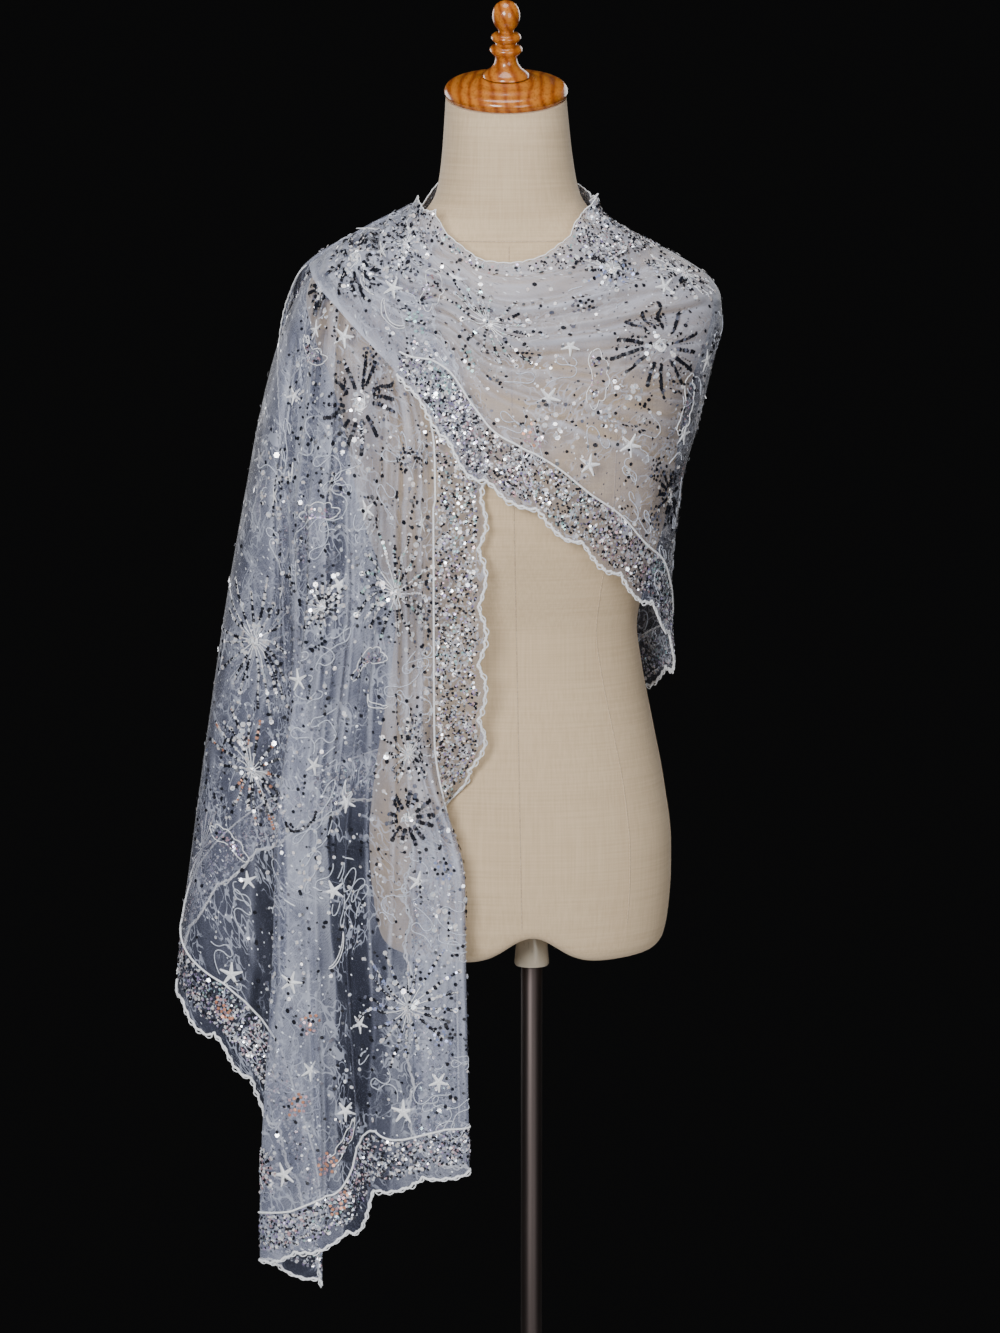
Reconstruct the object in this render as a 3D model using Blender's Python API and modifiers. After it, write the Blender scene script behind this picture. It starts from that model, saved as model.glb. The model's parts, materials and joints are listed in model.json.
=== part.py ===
"""A sheer, embroidered shawl wound once round a limbless dress form on a pole stand.

Metres, +Z up. The pole stands on the Z axis, the front of the form faces -Y, and the
origin is the centre of the base plate's underside.

Places on the form and in the cloth are given by a height and a turn. The turn is an
angle in degrees round the form, seen from above: 0 at the front, 90 at the side of -X,
180 at the back, 270 at the side of +X. The shawl is wound for more than a whole turn,
so its chest stretch, which lies over the fall, has turns from 270 to 450.
"""

import bisect
import math
from collections import namedtuple

import bpy
from mathutils import Vector

# Stand
BASE_RADIUS = 0.190
BASE_THICKNESS = 0.010
BASE_CROWN = 0.006
BOSS_RADIUS = 0.030
BOSS_HEIGHT = 0.034
POLE_RADIUS = 0.0102
POLE_TOP = 0.860
COLLAR_TOP_RADIUS = 0.0130
COLLAR_FOOT_RADIUS = 0.0165
COLLAR_FOOT = 0.738
FIT = 0.0003
BORE_RADIUS = POLE_RADIUS + 0.0006
BORE_CLEARANCE = 0.004
LANDING_RADIUS = COLLAR_TOP_RADIUS + 0.003
ROUND_STEPS = 40
KNOB_STEPS = 24

# Form
FORM_STEPS = 36
LEAN = 0.0194
LEAN_FOOT = 0.750
LEAN_START = -0.009
FORM_POWER = 2.2
FORM_FOOT = 0.7535
CROTCH_HEIGHT = 0.027
CROTCH_SPREAD = 0.032
CAP_THICKNESS = 0.013
CAP_CROWN = 0.006
CAP_OVERHANG = 0.0015

# Cloth
WALL = 0.0012
SEAM = 0.00035
FOLDED_SEAM = 0.0008
SEAM_TURN = 0.08
SEAT = 0.0017
OVER_LIFT = 0.0100
BORDER = 0.038
NECK_BORDER = 0.026
ROLLED_EDGE = 0.012
BORDER_ROWS = (0.0, 0.10, 0.87, 1.0)
RAISED = 0.0008
SCALLOP_PITCH = 0.053
SCALLOP_DEPTH = 0.0075
SCALLOP_SAMPLES = 3
SCALLOP_FROM = 0.8
LINE_SAMPLES = 8
LENGTH_SAMPLES = 90
DRAPE_POWER = 2.3
NUDGE = 1e-3

# Colours
LINEN = (0.62, 0.50, 0.36, 1.0)
WOOD = (0.42, 0.14, 0.03, 1.0)
STEEL = (0.62, 0.62, 0.63, 1.0)
COLLAR_CREAM = (0.55, 0.50, 0.42, 1.0)
TULLE = (0.60, 0.63, 0.70, 1.0)
SEQUINS = (0.50, 0.52, 0.60, 1.0)

FormSection = namedtuple("FormSection", "height half_width front back slant")
FORM_SECTIONS = [
    FormSection(0.790, 0.1395, 0.098, 0.116, 0.0),
    FormSection(0.830, 0.1430, 0.102, 0.123, 0.0),
    FormSection(0.860, 0.1435, 0.103, 0.124, 0.0),
    FormSection(0.918, 0.1375, 0.101, 0.117, 0.0),
    FormSection(0.976, 0.1275, 0.096, 0.103, 0.0),
    FormSection(1.033, 0.1176, 0.090, 0.088, 0.0),
    FormSection(1.066, 0.1140, 0.090, 0.082, 0.0),
    FormSection(1.110, 0.1230, 0.104, 0.083, 0.0),
    FormSection(1.160, 0.1400, 0.120, 0.089, 0.0),
    FormSection(1.205, 0.1500, 0.125, 0.098, 0.0),
    FormSection(1.250, 0.1570, 0.119, 0.104, 0.0),
    FormSection(1.300, 0.1690, 0.106, 0.107, 0.0),
    FormSection(1.345, 0.1850, 0.091, 0.104, 0.0),
    FormSection(1.375, 0.1905, 0.083, 0.099, 0.0),
    FormSection(1.395, 0.1850, 0.077, 0.094, 0.0),
    FormSection(1.410, 0.1650, 0.073, 0.088, 1.0),
    FormSection(1.425, 0.1370, 0.069, 0.081, 2.0),
    FormSection(1.440, 0.1060, 0.066, 0.073, 4.0),
    FormSection(1.455, 0.0800, 0.064, 0.067, 6.0),
    FormSection(1.475, 0.0670, 0.063, 0.063, 9.0),
    FormSection(1.505, 0.0615, 0.062, 0.061, 12.0),
    FormSection(1.535, 0.0585, 0.061, 0.060, 14.0),
    FormSection(1.564, 0.0562, 0.057, 0.057, 15.0),
]

# The foot rounds under: each ring is a share of the lowest section, at a rise above the foot
FootRing = namedtuple("FootRing", "share rise")
FOOT_RINGS = [
    FootRing(0.992, 0.0295),
    FootRing(0.965, 0.0155),
    FootRing(0.900, 0.0055),
    FootRing(0.760, 0.0010),
    FootRing(0.500, 0.0),
]

# The outlines of the two turned pieces of wood, from the top down: the disc on the neck, as
# shares of its radius, and the knob on it, which has a round tip, two rings and a bell foot
CapRow = namedtuple("CapRow", "share height")
CAP_ROWS = [
    CapRow(0.0, CAP_THICKNESS + CAP_CROWN),
    CapRow(0.40, CAP_THICKNESS + CAP_CROWN * 0.8),
    CapRow(0.86, CAP_THICKNESS),
    CapRow(0.965, CAP_THICKNESS - 0.003),
    CapRow(1.0, CAP_THICKNESS - 0.007),
    CapRow(0.985, 0.003),
    CapRow(0.95, 0.0),
    CapRow(0.0, 0.0),
]
FinialRow = namedtuple("FinialRow", "radius height")
FINIAL_ROWS = [
    FinialRow(0.0, 0.072),
    FinialRow(0.0060, 0.071),
    FinialRow(0.0115, 0.065),
    FinialRow(0.0130, 0.057),
    FinialRow(0.0110, 0.049),
    FinialRow(0.0070, 0.044),
    FinialRow(0.0070, 0.042),
    FinialRow(0.0135, 0.039),
    FinialRow(0.0140, 0.036),
    FinialRow(0.0100, 0.032),
    FinialRow(0.0100, 0.030),
    FinialRow(0.0150, 0.027),
    FinialRow(0.0150, 0.024),
    FinialRow(0.0105, 0.020),
    FinialRow(0.0110, 0.013),
    FinialRow(0.0150, 0.007),
    FinialRow(0.0215, 0.002),
    FinialRow(0.0215, 0.0),
    FinialRow(0.0, 0.0),
]

# The soft shape that the cloth takes round the form: on the shoulders it is the form's own,
# and below them it hangs clear, far out on the side of -X.
DrapeSection = namedtuple("DrapeSection", "height left right front back slant")
DRAPE_SECTIONS = [
    DrapeSection(0.420, 0.345, 0.150, 0.128, 0.160, 0.0),
    DrapeSection(0.600, 0.338, 0.150, 0.127, 0.156, 0.0),
    DrapeSection(0.742, 0.328, 0.150, 0.126, 0.150, 0.0),
    DrapeSection(0.859, 0.311, 0.150, 0.126, 0.143, 0.0),
    DrapeSection(0.976, 0.292, 0.149, 0.128, 0.134, 0.0),
    DrapeSection(1.091, 0.272, 0.146, 0.132, 0.126, 0.0),
    DrapeSection(1.205, 0.249, 0.158, 0.134, 0.122, 0.0),
    DrapeSection(1.262, 0.237, 0.174, 0.129, 0.120, 0.0),
    DrapeSection(1.318, 0.222, 0.188, 0.114, 0.117, 0.0),
    DrapeSection(1.355, 0.209, 0.197, 0.103, 0.111, 0.0),
    DrapeSection(1.378, 0.1985, 0.196, 0.094, 0.104, 0.0),
    DrapeSection(1.395, 0.1890, 0.1866, 0.086, 0.097, 0.0),
    DrapeSection(1.410, 0.1680, 0.1656, 0.081, 0.090, 1.0),
    DrapeSection(1.425, 0.1395, 0.1374, 0.077, 0.083, 2.0),
    DrapeSection(1.440, 0.1090, 0.1070, 0.073, 0.076, 4.0),
    DrapeSection(1.455, 0.0830, 0.0820, 0.070, 0.071, 6.0),
    DrapeSection(1.475, 0.073, 0.073, 0.068, 0.069, 9.0),
    DrapeSection(1.500, 0.070, 0.070, 0.067, 0.068, 10.0),
]

# The lines that the fall's folds follow, from its inner edge to the side of the form.
# chest, hip and hem are how far each lies on the side of -X from the pole; the depths are
# how far it stands in front of the hanging shape; low is where the cloth ends under it.
FallLine = namedtuple("FallLine", "name chest hip hem chest_depth low_depth low")
FALL_LINES = [
    FallLine("edge", 0.052, 0.112, 0.108, 0.000, -0.025, 0.588),
    FallLine("band", 0.072, 0.092, 0.090, 0.001, -0.018, 0.580),
    FallLine("cord", 0.091, 0.072, 0.068, 0.002, -0.010, 0.574),
    FallLine("front fold", 0.099, 0.063, 0.059, 0.001, -0.001, 0.572),
    FallLine("panel", 0.107, 0.084, 0.080, -0.002, 0.006, 0.571),
    FallLine("panel middle", 0.120, 0.116, 0.113, 0.002, 0.004, 0.561),
    FallLine("panel end", 0.136, 0.147, 0.147, 0.003, -0.002, 0.552),
    FallLine("window", 0.157, 0.178, 0.168, -0.003, -0.013, 0.507),
    FallLine("window end", 0.178, 0.202, 0.192, 0.001, -0.004, 0.499),
    FallLine("middle fold", 0.195, 0.225, 0.226, 0.003, 0.006, 0.486),
    FallLine("left fold", 0.207, 0.241, 0.257, 0.001, -0.002, 0.479),
    FallLine("folded back", 0.215, 0.227, 0.238, -0.003, -0.018, 0.470),
    FallLine("hem corner", 0.222, 0.206, 0.199, -0.005, -0.031, 0.449),
    FallLine("turned out", 0.232, 0.236, 0.238, -0.006, -0.043, 0.592),
    FallLine("outer", 0.246, 0.291, 0.290, -0.001, -0.024, 0.676),
    FallLine("side", 0.267, 0.330, 0.337, 0.000, 0.000, 0.732),
]
CORD_LINE = 2
CORNER_LINE = 12
CORNER_GAP = 0.10
SIDE_GAP = 0.010
INNER_EDGE = 0.13
LAST_LINE = len(FALL_LINES) - 1
FALL_STEPS = 3
CHEST_HEIGHT = 1.20
HIP_HEIGHT = 0.85
HEM_HEIGHT = 0.50
BAND_LINES = 5
BAND_DEEPENS = (1.04, 0.90)
BAND_TURNS = (0.98, 0.84)
FOLDS_DEEPEN = (1.27, 0.98)
FOLDS_TURN = (1.13, 0.86)
FALL_TOP = 1.446
FALL_INNER_ROWS = 48
FALL_ROWS = (0, 0.03, 0.065, 0.1, 0.14, 0.18, 0.225, 0.275, 0.33, 0.395, 0.47, 0.55, 0.64, 0.74, 0.86, 1)

# The turn of the fall's inner edge above the chest, where it climbs to the neck
EdgeClimb = namedtuple("EdgeClimb", "height turn")
EDGE_CLIMB = [
    EdgeClimb(1.200, 5.4),
    EdgeClimb(1.250, 6.2),
    EdgeClimb(1.300, 10.0),
    EdgeClimb(1.350, 16.5),
    EdgeClimb(1.400, 25.0),
    EdgeClimb(1.430, 34.0),
    EdgeClimb(1.450, 44.0),
]

# The upper and lower edges of the wound stretches
Edge = namedtuple("Edge", "turn top low lift")
EDGES = [
    Edge(90, 1.446, 0.732, SEAT),
    Edge(105, 1.464, 0.778, SEAT),
    Edge(125, 1.476, 0.826, SEAT),
    Edge(150, 1.480, 0.875, SEAT),
    Edge(180, 1.480, 0.918, SEAT),
    Edge(210, 1.478, 0.964, SEAT),
    Edge(240, 1.474, 1.010, SEAT),
    Edge(270, 1.468, 1.038, SEAT),
    Edge(285, 1.465, 1.066, SEAT),
    Edge(300, 1.460, 1.096, SEAT),
    Edge(316, 1.453, 1.120, SEAT),
    Edge(330, 1.442, 1.146, SEAT + 0.001),
    Edge(342, 1.431, 1.168, 0.0055),
    Edge(352, 1.419, 1.190, 0.0080),
    Edge(360, 1.413, 1.209, OVER_LIFT),
    Edge(366, 1.415, 1.230, OVER_LIFT),
    Edge(371, 1.422, 1.256, OVER_LIFT),
    Edge(377, 1.430, 1.288, OVER_LIFT),
    Edge(396, 1.447, 1.346, OVER_LIFT),
    Edge(414, 1.456, 1.379, OVER_LIFT),
    Edge(432, 1.464, 1.397, 0.0090),
    Edge(450, 1.468, 1.403, 0.0090),
]
BACK_TURNS = (90, 270)
CHEST_TURNS = (270, 450)
NECK_BORDER_TURN = 98
ROLL_TURNS = (366, 388)
STEEPEST = 2.0

# Long soft folds that run along the wound stretches. start and end are where a fold lies
# between the upper edge (0) and the lower edge (1), at its first and its last turn.
Fold = namedtuple("Fold", "first last start end width depth")
FOLDS = [
    Fold(150, 262, 0.16, 0.14, 0.050, 0.004),
    Fold(118, 262, 0.30, 0.27, 0.055, 0.005),
    Fold(104, 268, 0.47, 0.42, 0.060, 0.006),
    Fold(112, 262, 0.65, 0.60, 0.060, 0.005),
    Fold(108, 250, 0.82, 0.80, 0.055, 0.004),
    Fold(292, 452, 0.22, 0.18, 0.060, 0.004),
    Fold(282, 452, 0.34, 0.36, 0.055, 0.005),
    Fold(290, 452, 0.47, 0.53, 0.060, 0.004),
    Fold(300, 452, 0.62, 0.69, 0.055, 0.004),
    Fold(318, 452, 0.76, 0.84, 0.050, 0.003),
]
FIELD_ROWS = (0, 0.035, 0.075, 0.12, 0.175, 0.25, 0.34, 0.44, 0.55, 0.66, 0.77, 0.88, 1)

# The thrown end, which hangs from the shoulder at a turn of 450 down the back
END_TURN = 450
END_NECK_TURN = 520
END_SHOULDER_TURN = 486
END_NECK_HEM = 1.165
END_SHOULDER_HEM = 1.120
END_ROWS = 7
END_START = 0.002
END_BORDER_AT = 0.87
END_SEAM = 0.003
END_SCALLOPS = 6
END_WAVE = 0.022
END_LIFT = 0.017
END_PLEATS = 3.0
END_PLEAT_DEPTH = 0.005


def clear_scene():
    for old in list(bpy.data.objects):
        bpy.data.objects.remove(old, do_unlink=True)


def read(table, key, column, at):
    """A column of a table, read smoothly and without overshoot between its rows."""
    where = [getattr(row, key) for row in table]
    values = [getattr(row, column) for row in table]
    if at <= where[0]:
        return values[0]
    if at >= where[-1]:
        return values[-1]
    i = bisect.bisect_right(where, at) - 1
    span = where[i + 1] - where[i]

    def slope(n):
        return (values[n + 1] - values[n]) / (where[n + 1] - where[n])

    def tangent(n):
        if n in (0, len(values) - 1):
            return slope(min(n, len(values) - 2))
        before, after = slope(n - 1), slope(n)
        if before * after <= 0:
            return 0.0
        return 2 * before * after / (before + after)

    f = (at - where[i]) / span
    start, end = values[i], values[i + 1]
    m0, m1 = tangent(i) * span, tangent(i + 1) * span
    return (
        (2 * f**3 - 3 * f**2 + 1) * start
        + (f**3 - 2 * f**2 + f) * m0
        + (3 * f**2 - 2 * f**3) * end
        + (f**3 - f**2) * m1
    )


def through(value_of, count, at):
    """A round curve through evenly spaced values, which may swing past them."""
    i = min(max(int(at), 0), count - 2)
    f = at - i
    p1, p2 = value_of(i), value_of(i + 1)
    p0 = value_of(i - 1) if i > 0 else 2 * p1 - p2
    p3 = value_of(i + 2) if i + 2 < count else 2 * p2 - p1
    return p1 + 0.5 * f * (
        p2 - p0 + f * (2 * p0 - 5 * p1 + 4 * p2 - p3 + f * (3 * (p1 - p2) + p3 - p0))
    )


def ease(f):
    f = min(max(f, 0.0), 1.0)
    return f * f * (3 - 2 * f)


def mix(a, b, f):
    return a + (b - a) * f


def centre(height):
    """The form leans a little to the side of -X."""
    return LEAN_START - LEAN * (height - LEAN_FOOT)


def rounded(value, power):
    return math.copysign(abs(value) ** (2 / power), value)


def form_point(height, turn):
    angle = math.radians(turn)
    side, ahead = math.sin(angle), math.cos(angle)
    half = read(FORM_SECTIONS, "height", "half_width", height)
    depth = read(FORM_SECTIONS, "height", "front" if ahead > 0 else "back", height)
    slant = math.tan(math.radians(read(FORM_SECTIONS, "height", "slant", height)))
    x = centre(height) - half * rounded(side, FORM_POWER)
    y = -depth * rounded(ahead, FORM_POWER)
    return Vector((x, y, height + y * slant))


def drape_base(height, turn):
    angle = math.radians(turn)
    side, ahead = math.sin(angle), math.cos(angle)
    half = read(DRAPE_SECTIONS, "height", "left" if side > 0 else "right", height)
    depth = read(DRAPE_SECTIONS, "height", "front" if ahead > 0 else "back", height)
    slant = math.tan(math.radians(read(DRAPE_SECTIONS, "height", "slant", height)))
    x = centre(height) - half * rounded(side, DRAPE_POWER)
    y = -depth * rounded(ahead, DRAPE_POWER)
    return Vector((x, y, height + y * slant))


def drape_point(height, turn, lift):
    """A point of the hanging shape, moved outwards by a lift."""
    along = drape_base(height, turn + 1) - drape_base(height, turn - 1)
    up = drape_base(height + NUDGE, turn) - drape_base(height - NUDGE, turn)
    return drape_base(height, turn) + up.cross(along).normalized() * lift


def turn_of(left, height):
    """The turn at which the hanging shape lies that far on the side of -X."""
    half = read(DRAPE_SECTIONS, "height", "left", height)
    share = min(max((left + centre(height)) / half, -0.99), 0.99)
    return math.degrees(math.asin(rounded(share, 4 / DRAPE_POWER)))


def fall_turn(line, height):
    row = FALL_LINES[line]
    if line == LAST_LINE:
        return 90.0
    if height < CHEST_HEIGHT:
        begins, ends = BAND_TURNS if line <= BAND_LINES else FOLDS_TURN
        left = mix(row.chest, row.hip, ease((begins - height) / (begins - ends)))
        left += (row.hem - row.hip) * ease((HIP_HEIGHT - height) / (HIP_HEIGHT - HEM_HEIGHT))
        return turn_of(left, height)
    edge = read(EDGE_CLIMB, "height", "turn", height)
    edge_at_chest = turn_of(FALL_LINES[0].chest, CHEST_HEIGHT)
    here = turn_of(row.chest, CHEST_HEIGHT)
    return edge + (here - edge_at_chest) * (90 - edge) / (90 - edge_at_chest)


def fall_depth(line, height):
    row = FALL_LINES[line]
    begins, ends = BAND_DEEPENS if line <= BAND_LINES else FOLDS_DEEPEN
    depth = mix(row.chest_depth, row.low_depth, ease((begins - height) / (begins - ends)))
    return depth * ease((FALL_TOP - height) / 0.10)


def fall_at(line, height):
    """A point of the fall: line counts along FALL_LINES and may lie between two of them."""
    count = len(FALL_LINES)
    turn = through(lambda n: fall_turn(n, height), count, line)
    depth = through(lambda n: fall_depth(n, height), count, line)
    return drape_point(height, turn, SEAT) - Vector((0, depth, 0))


def fall_low(line):
    i = min(int(line), LAST_LINE - 1)
    return mix(FALL_LINES[i].low, FALL_LINES[i + 1].low, line - i)


def fold_lift(turn, down):
    lift = 0.0
    for fold in FOLDS:
        along = (turn - fold.first) / (fold.last - fold.first)
        if 0 < along < 1:
            at = mix(fold.start, fold.end, along)
            ends = ease(6 * along) * (ease(6 * (1 - along)) if fold.last < END_TURN else 1)
            lift += fold.depth * ends * math.exp(-(((down - at) / fold.width) ** 2))
    return lift


def wound_at(turn, height):
    """A point of the stretches that are wound round the back and the chest."""
    top = read(EDGES, "turn", "top", turn)
    low = read(EDGES, "turn", "low", turn)
    lift = read(EDGES, "turn", "lift", turn) + fold_lift(turn, (top - height) / (top - low))
    return drape_point(height, turn, lift)


def end_at(across, down):
    """A point of the thrown end: across from the neck to the shoulder, down to its hem."""
    across = min(max(across, 0.0), 1.0)
    down = max(down, 0.0)
    top = mix(read(EDGES, "turn", "top", END_TURN), read(EDGES, "turn", "low", END_TURN), across)
    hem = mix(END_NECK_HEM, END_SHOULDER_HEM, across)
    last = mix(END_NECK_TURN, END_SHOULDER_TURN, across**0.7)
    turn = mix(END_TURN, last, 1 - (1 - down) ** 2)
    height = mix(top, hem, down ** (1.5 - 0.3 * across))
    start = read(EDGES, "turn", "lift", END_TURN) + fold_lift(END_TURN, across) * (1 - ease(2 * down))
    start = mix(start, END_LIFT, ease(2 * down))
    pleat = END_PLEAT_DEPTH * math.sin(2 * math.pi * END_PLEATS * across) * ease(1.5 * down)
    return drape_point(height, turn, start + pleat)


def lengths_along(points):
    run = [0.0]
    for a, b in zip(points, points[1:]):
        run.append(run[-1] + (b - a).length)
    return run


def at_length(run, places, length):
    """The place along a line at which its running length is reached."""
    for n in range(1, len(run)):
        if run[n] >= length:
            f = (length - run[n - 1]) / (run[n] - run[n - 1])
            return mix(places[n - 1], places[n], f)
    return places[-1]


def scallop(length):
    return SCALLOP_DEPTH * abs(math.sin(math.pi * length / SCALLOP_PITCH))


def at_edge(down):
    """How far a border's row follows the scallops: wholly at the edge, and not in the band."""
    return max(down - SCALLOP_FROM, 0) / (1 - SCALLOP_FROM)


def steepness(point_at, place, reach):
    """How much longer than a border's width its drop is, where the edge below it slopes."""
    before, here, after = point_at(place - reach), point_at(place), point_at(place + reach)
    flat = (here.xy - before.xy).length + (after.xy - here.xy).length
    return min(math.hypot(1, (after.z - before.z) / max(flat, NUDGE)), STEEPEST)


def material(name, colour, roughness, metallic=0.0):
    made = bpy.data.materials.new(name)
    made.use_nodes = True
    shader = made.node_tree.nodes["Principled BSDF"]
    shader.inputs["Base Color"].default_value = colour
    shader.inputs["Roughness"].default_value = roughness
    shader.inputs["Metallic"].default_value = metallic
    return made


def add_mesh(name, verts, faces, made, smooth=True):
    mesh = bpy.data.meshes.new(name)
    mesh.from_pydata([tuple(v) for v in verts], [], faces)
    mesh.materials.append(made)
    if smooth:
        mesh.shade_smooth()
    part = bpy.data.objects.new(name, mesh)
    PARTS.objects.link(part)
    return part


def wall(name, surface, rows, columns, raised, made):
    """A closed wall on a surface: rows of places down it, columns across it.

    surface(column, row) gives the outer skin's point, and raised(column, row) how far a
    cord or a stitched edge stands up there. The inner skin stays plain.
    """
    outer, inner = [], []
    for row in rows:
        for column in columns:
            point = surface(column, row)
            across = surface(column + NUDGE, row) - surface(column - NUDGE, row)
            down = surface(column, row + NUDGE) - surface(column, row - NUDGE)
            out = across.cross(down).normalized()
            outer.append(point + out * raised(column, row))
            inner.append(point - out * WALL)
    wide, high = len(columns), len(rows)
    count = wide * high
    faces = []
    for r in range(high - 1):
        for c in range(wide - 1):
            a, b = r * wide + c, r * wide + c + 1
            faces.append((a, b, b + wide, a + wide))
            faces.append((count + a, count + a + wide, count + b + wide, count + b))
    rim = list(range(wide))
    rim += [r * wide + wide - 1 for r in range(1, high)]
    rim += [(high - 1) * wide + c for c in range(wide - 2, -1, -1)]
    rim += [r * wide for r in range(high - 2, 0, -1)]
    for a, b in zip(rim, rim[1:] + rim[:1]):
        faces.append((b, a, count + a, count + b))
    return add_mesh(name, outer + inner, faces, made)


def plain(column, row):
    return 0.0


def build_base():
    profile = [
        (0.0, BASE_THICKNESS + BASE_CROWN + BOSS_HEIGHT),
        (BOSS_RADIUS * 0.62, BASE_THICKNESS + BASE_CROWN + BOSS_HEIGHT),
        (BOSS_RADIUS * 0.74, BASE_THICKNESS + BASE_CROWN + BOSS_HEIGHT * 0.9),
        (BOSS_RADIUS, BASE_THICKNESS + BASE_CROWN * 1.4),
        (BOSS_RADIUS * 1.25, BASE_THICKNESS + BASE_CROWN),
        (BASE_RADIUS * 0.80, BASE_THICKNESS + BASE_CROWN * 0.6),
        (BASE_RADIUS - 0.004, BASE_THICKNESS),
        (BASE_RADIUS, BASE_THICKNESS - 0.003),
        (BASE_RADIUS, 0.002),
        (BASE_RADIUS - 0.002, 0.0),
        (0.0, 0.0),
    ]
    return turned("base_plate", profile, material("base_steel", STEEL, 0.3, 0.9))


def turned(name, profile, made, foot=(0, 0, 0), tilt=0.0, steps=ROUND_STEPS):
    """A turned solid: its profile is spun round its own upright axis, then tilted."""
    mesh = bpy.data.meshes.new(name)
    mesh.from_pydata([(r, 0, z) for r, z in profile], [(n, n + 1) for n in range(len(profile) - 1)], [])
    mesh.materials.append(made)
    part = bpy.data.objects.new(name, mesh)
    PARTS.objects.link(part)
    spin = part.modifiers.new("spin", "SCREW")
    spin.steps = steps
    spin.render_steps = steps
    spin.use_merge_vertices = True
    spin.merge_threshold = 0.00001
    spin.use_smooth_shade = True
    part.location = foot
    part.rotation_euler = (tilt, 0, 0)
    return part


def build_pole():
    foot = BASE_THICKNESS + BASE_CROWN + BOSS_HEIGHT + FIT
    profile = [
        (0.0, POLE_TOP),
        (POLE_RADIUS - 0.001, POLE_TOP),
        (POLE_RADIUS, POLE_TOP - 0.001),
        (POLE_RADIUS, foot),
        (0.0, foot),
    ]
    return turned("pole", profile, material("pole_steel", STEEL, 0.12, 1.0))


def underside(x):
    """The foot of the form: two low stubs, with a hollow over the pole between them."""
    return CROTCH_HEIGHT * math.exp(-((x / CROTCH_SPREAD) ** 2))


def build_form():
    """The padded form, lofted from its sections, with a bore for the pole in its foot."""
    heights = [row.height for row in FORM_SECTIONS]
    between = [mix(a, b, 0.5) for a, b in zip(heights, heights[1:]) if b - a > 0.055]
    heights = sorted(heights + between, reverse=True)
    turns = [360 * n / FORM_STEPS for n in range(FORM_STEPS)]
    rings = [[form_point(height, turn) for turn in turns] for height in heights]
    lowest = heights[-1]
    for row in FOOT_RINGS:
        ring = []
        for turn in turns:
            edge = form_point(lowest, turn)
            x = centre(lowest) + (edge.x - centre(lowest)) * row.share
            hollow = underside(x) * (1 - row.rise / (lowest - FORM_FOOT))
            ring.append(Vector((x, edge.y * row.share, FORM_FOOT + row.rise + hollow)))
        rings.append(ring)
    circle = [Vector((-math.sin(math.radians(t)), -math.cos(math.radians(t)), 0)) for t in turns]
    landing = Vector((0, 0, FORM_FOOT + underside(0)))
    rings.append([p * LANDING_RADIUS + landing for p in circle])
    rings.append([p * BORE_RADIUS + landing for p in circle])
    bore_top = Vector((0, 0, POLE_TOP + BORE_CLEARANCE))
    rings.append([p * BORE_RADIUS + bore_top for p in circle])
    verts = [p for ring in rings for p in ring]
    faces = []
    for r in range(len(rings) - 1):
        for c in range(FORM_STEPS):
            a, b = r * FORM_STEPS + c, r * FORM_STEPS + (c + 1) % FORM_STEPS
            faces.append((a, b, b + FORM_STEPS, a + FORM_STEPS))
    top = len(verts)
    verts.append(form_point(heights[0], 0).lerp(form_point(heights[0], 180), 0.5))
    verts.append(bore_top)
    last = (len(rings) - 1) * FORM_STEPS
    for c in range(FORM_STEPS):
        d = (c + 1) % FORM_STEPS
        faces.append((top, d, c))
        faces.append((top + 1, last + c, last + d))
    return add_mesh("dress_form", verts, faces, material("linen_cover", LINEN, 0.85))


def build_collar():
    top = FORM_FOOT + underside(0) - FIT
    hole = BORE_RADIUS
    profile = [
        (hole, top),
        (COLLAR_TOP_RADIUS, top),
        (COLLAR_TOP_RADIUS, top - 0.006),
        (COLLAR_FOOT_RADIUS, COLLAR_FOOT + 0.004),
        (COLLAR_FOOT_RADIUS - 0.001, COLLAR_FOOT),
        (hole, COLLAR_FOOT),
        (hole, top),
    ]
    return turned("collar", profile, material("collar_enamel", COLLAR_CREAM, 0.45, 0.2))


def neck_top():
    """The middle and the slant of the form's flat neck."""
    front, back = form_point(FORM_SECTIONS[-1].height, 0), form_point(FORM_SECTIONS[-1].height, 180)
    return front.lerp(back, 0.5), math.radians(FORM_SECTIONS[-1].slant)


def build_cap():
    """The turned wooden disc on the neck."""
    middle, slant = neck_top()
    radius = FORM_SECTIONS[-1].half_width + CAP_OVERHANG
    profile = [(radius * row.share, row.height) for row in CAP_ROWS]
    up = Vector((0, -math.sin(slant), math.cos(slant)))
    wood = material("cap_wood", WOOD, 0.25)
    return turned("neck_cap", profile, wood, middle + up * FIT, slant)


def build_finial():
    """The turned knob on the cap."""
    middle, slant = neck_top()
    up = Vector((0, -math.sin(slant), math.cos(slant)))
    foot = middle + up * (CAP_THICKNESS + CAP_CROWN + 2 * FIT)
    wood = material("finial_wood", WOOD, 0.25)
    return turned("finial", FINIAL_ROWS, wood, foot, slant, KNOB_STEPS)


def cord_and_edge(across, down):
    """A lower border stands up along its cord, at its top, and along its stitched edge."""
    return RAISED if down in (0.0, 1.0) else 0.0


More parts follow.
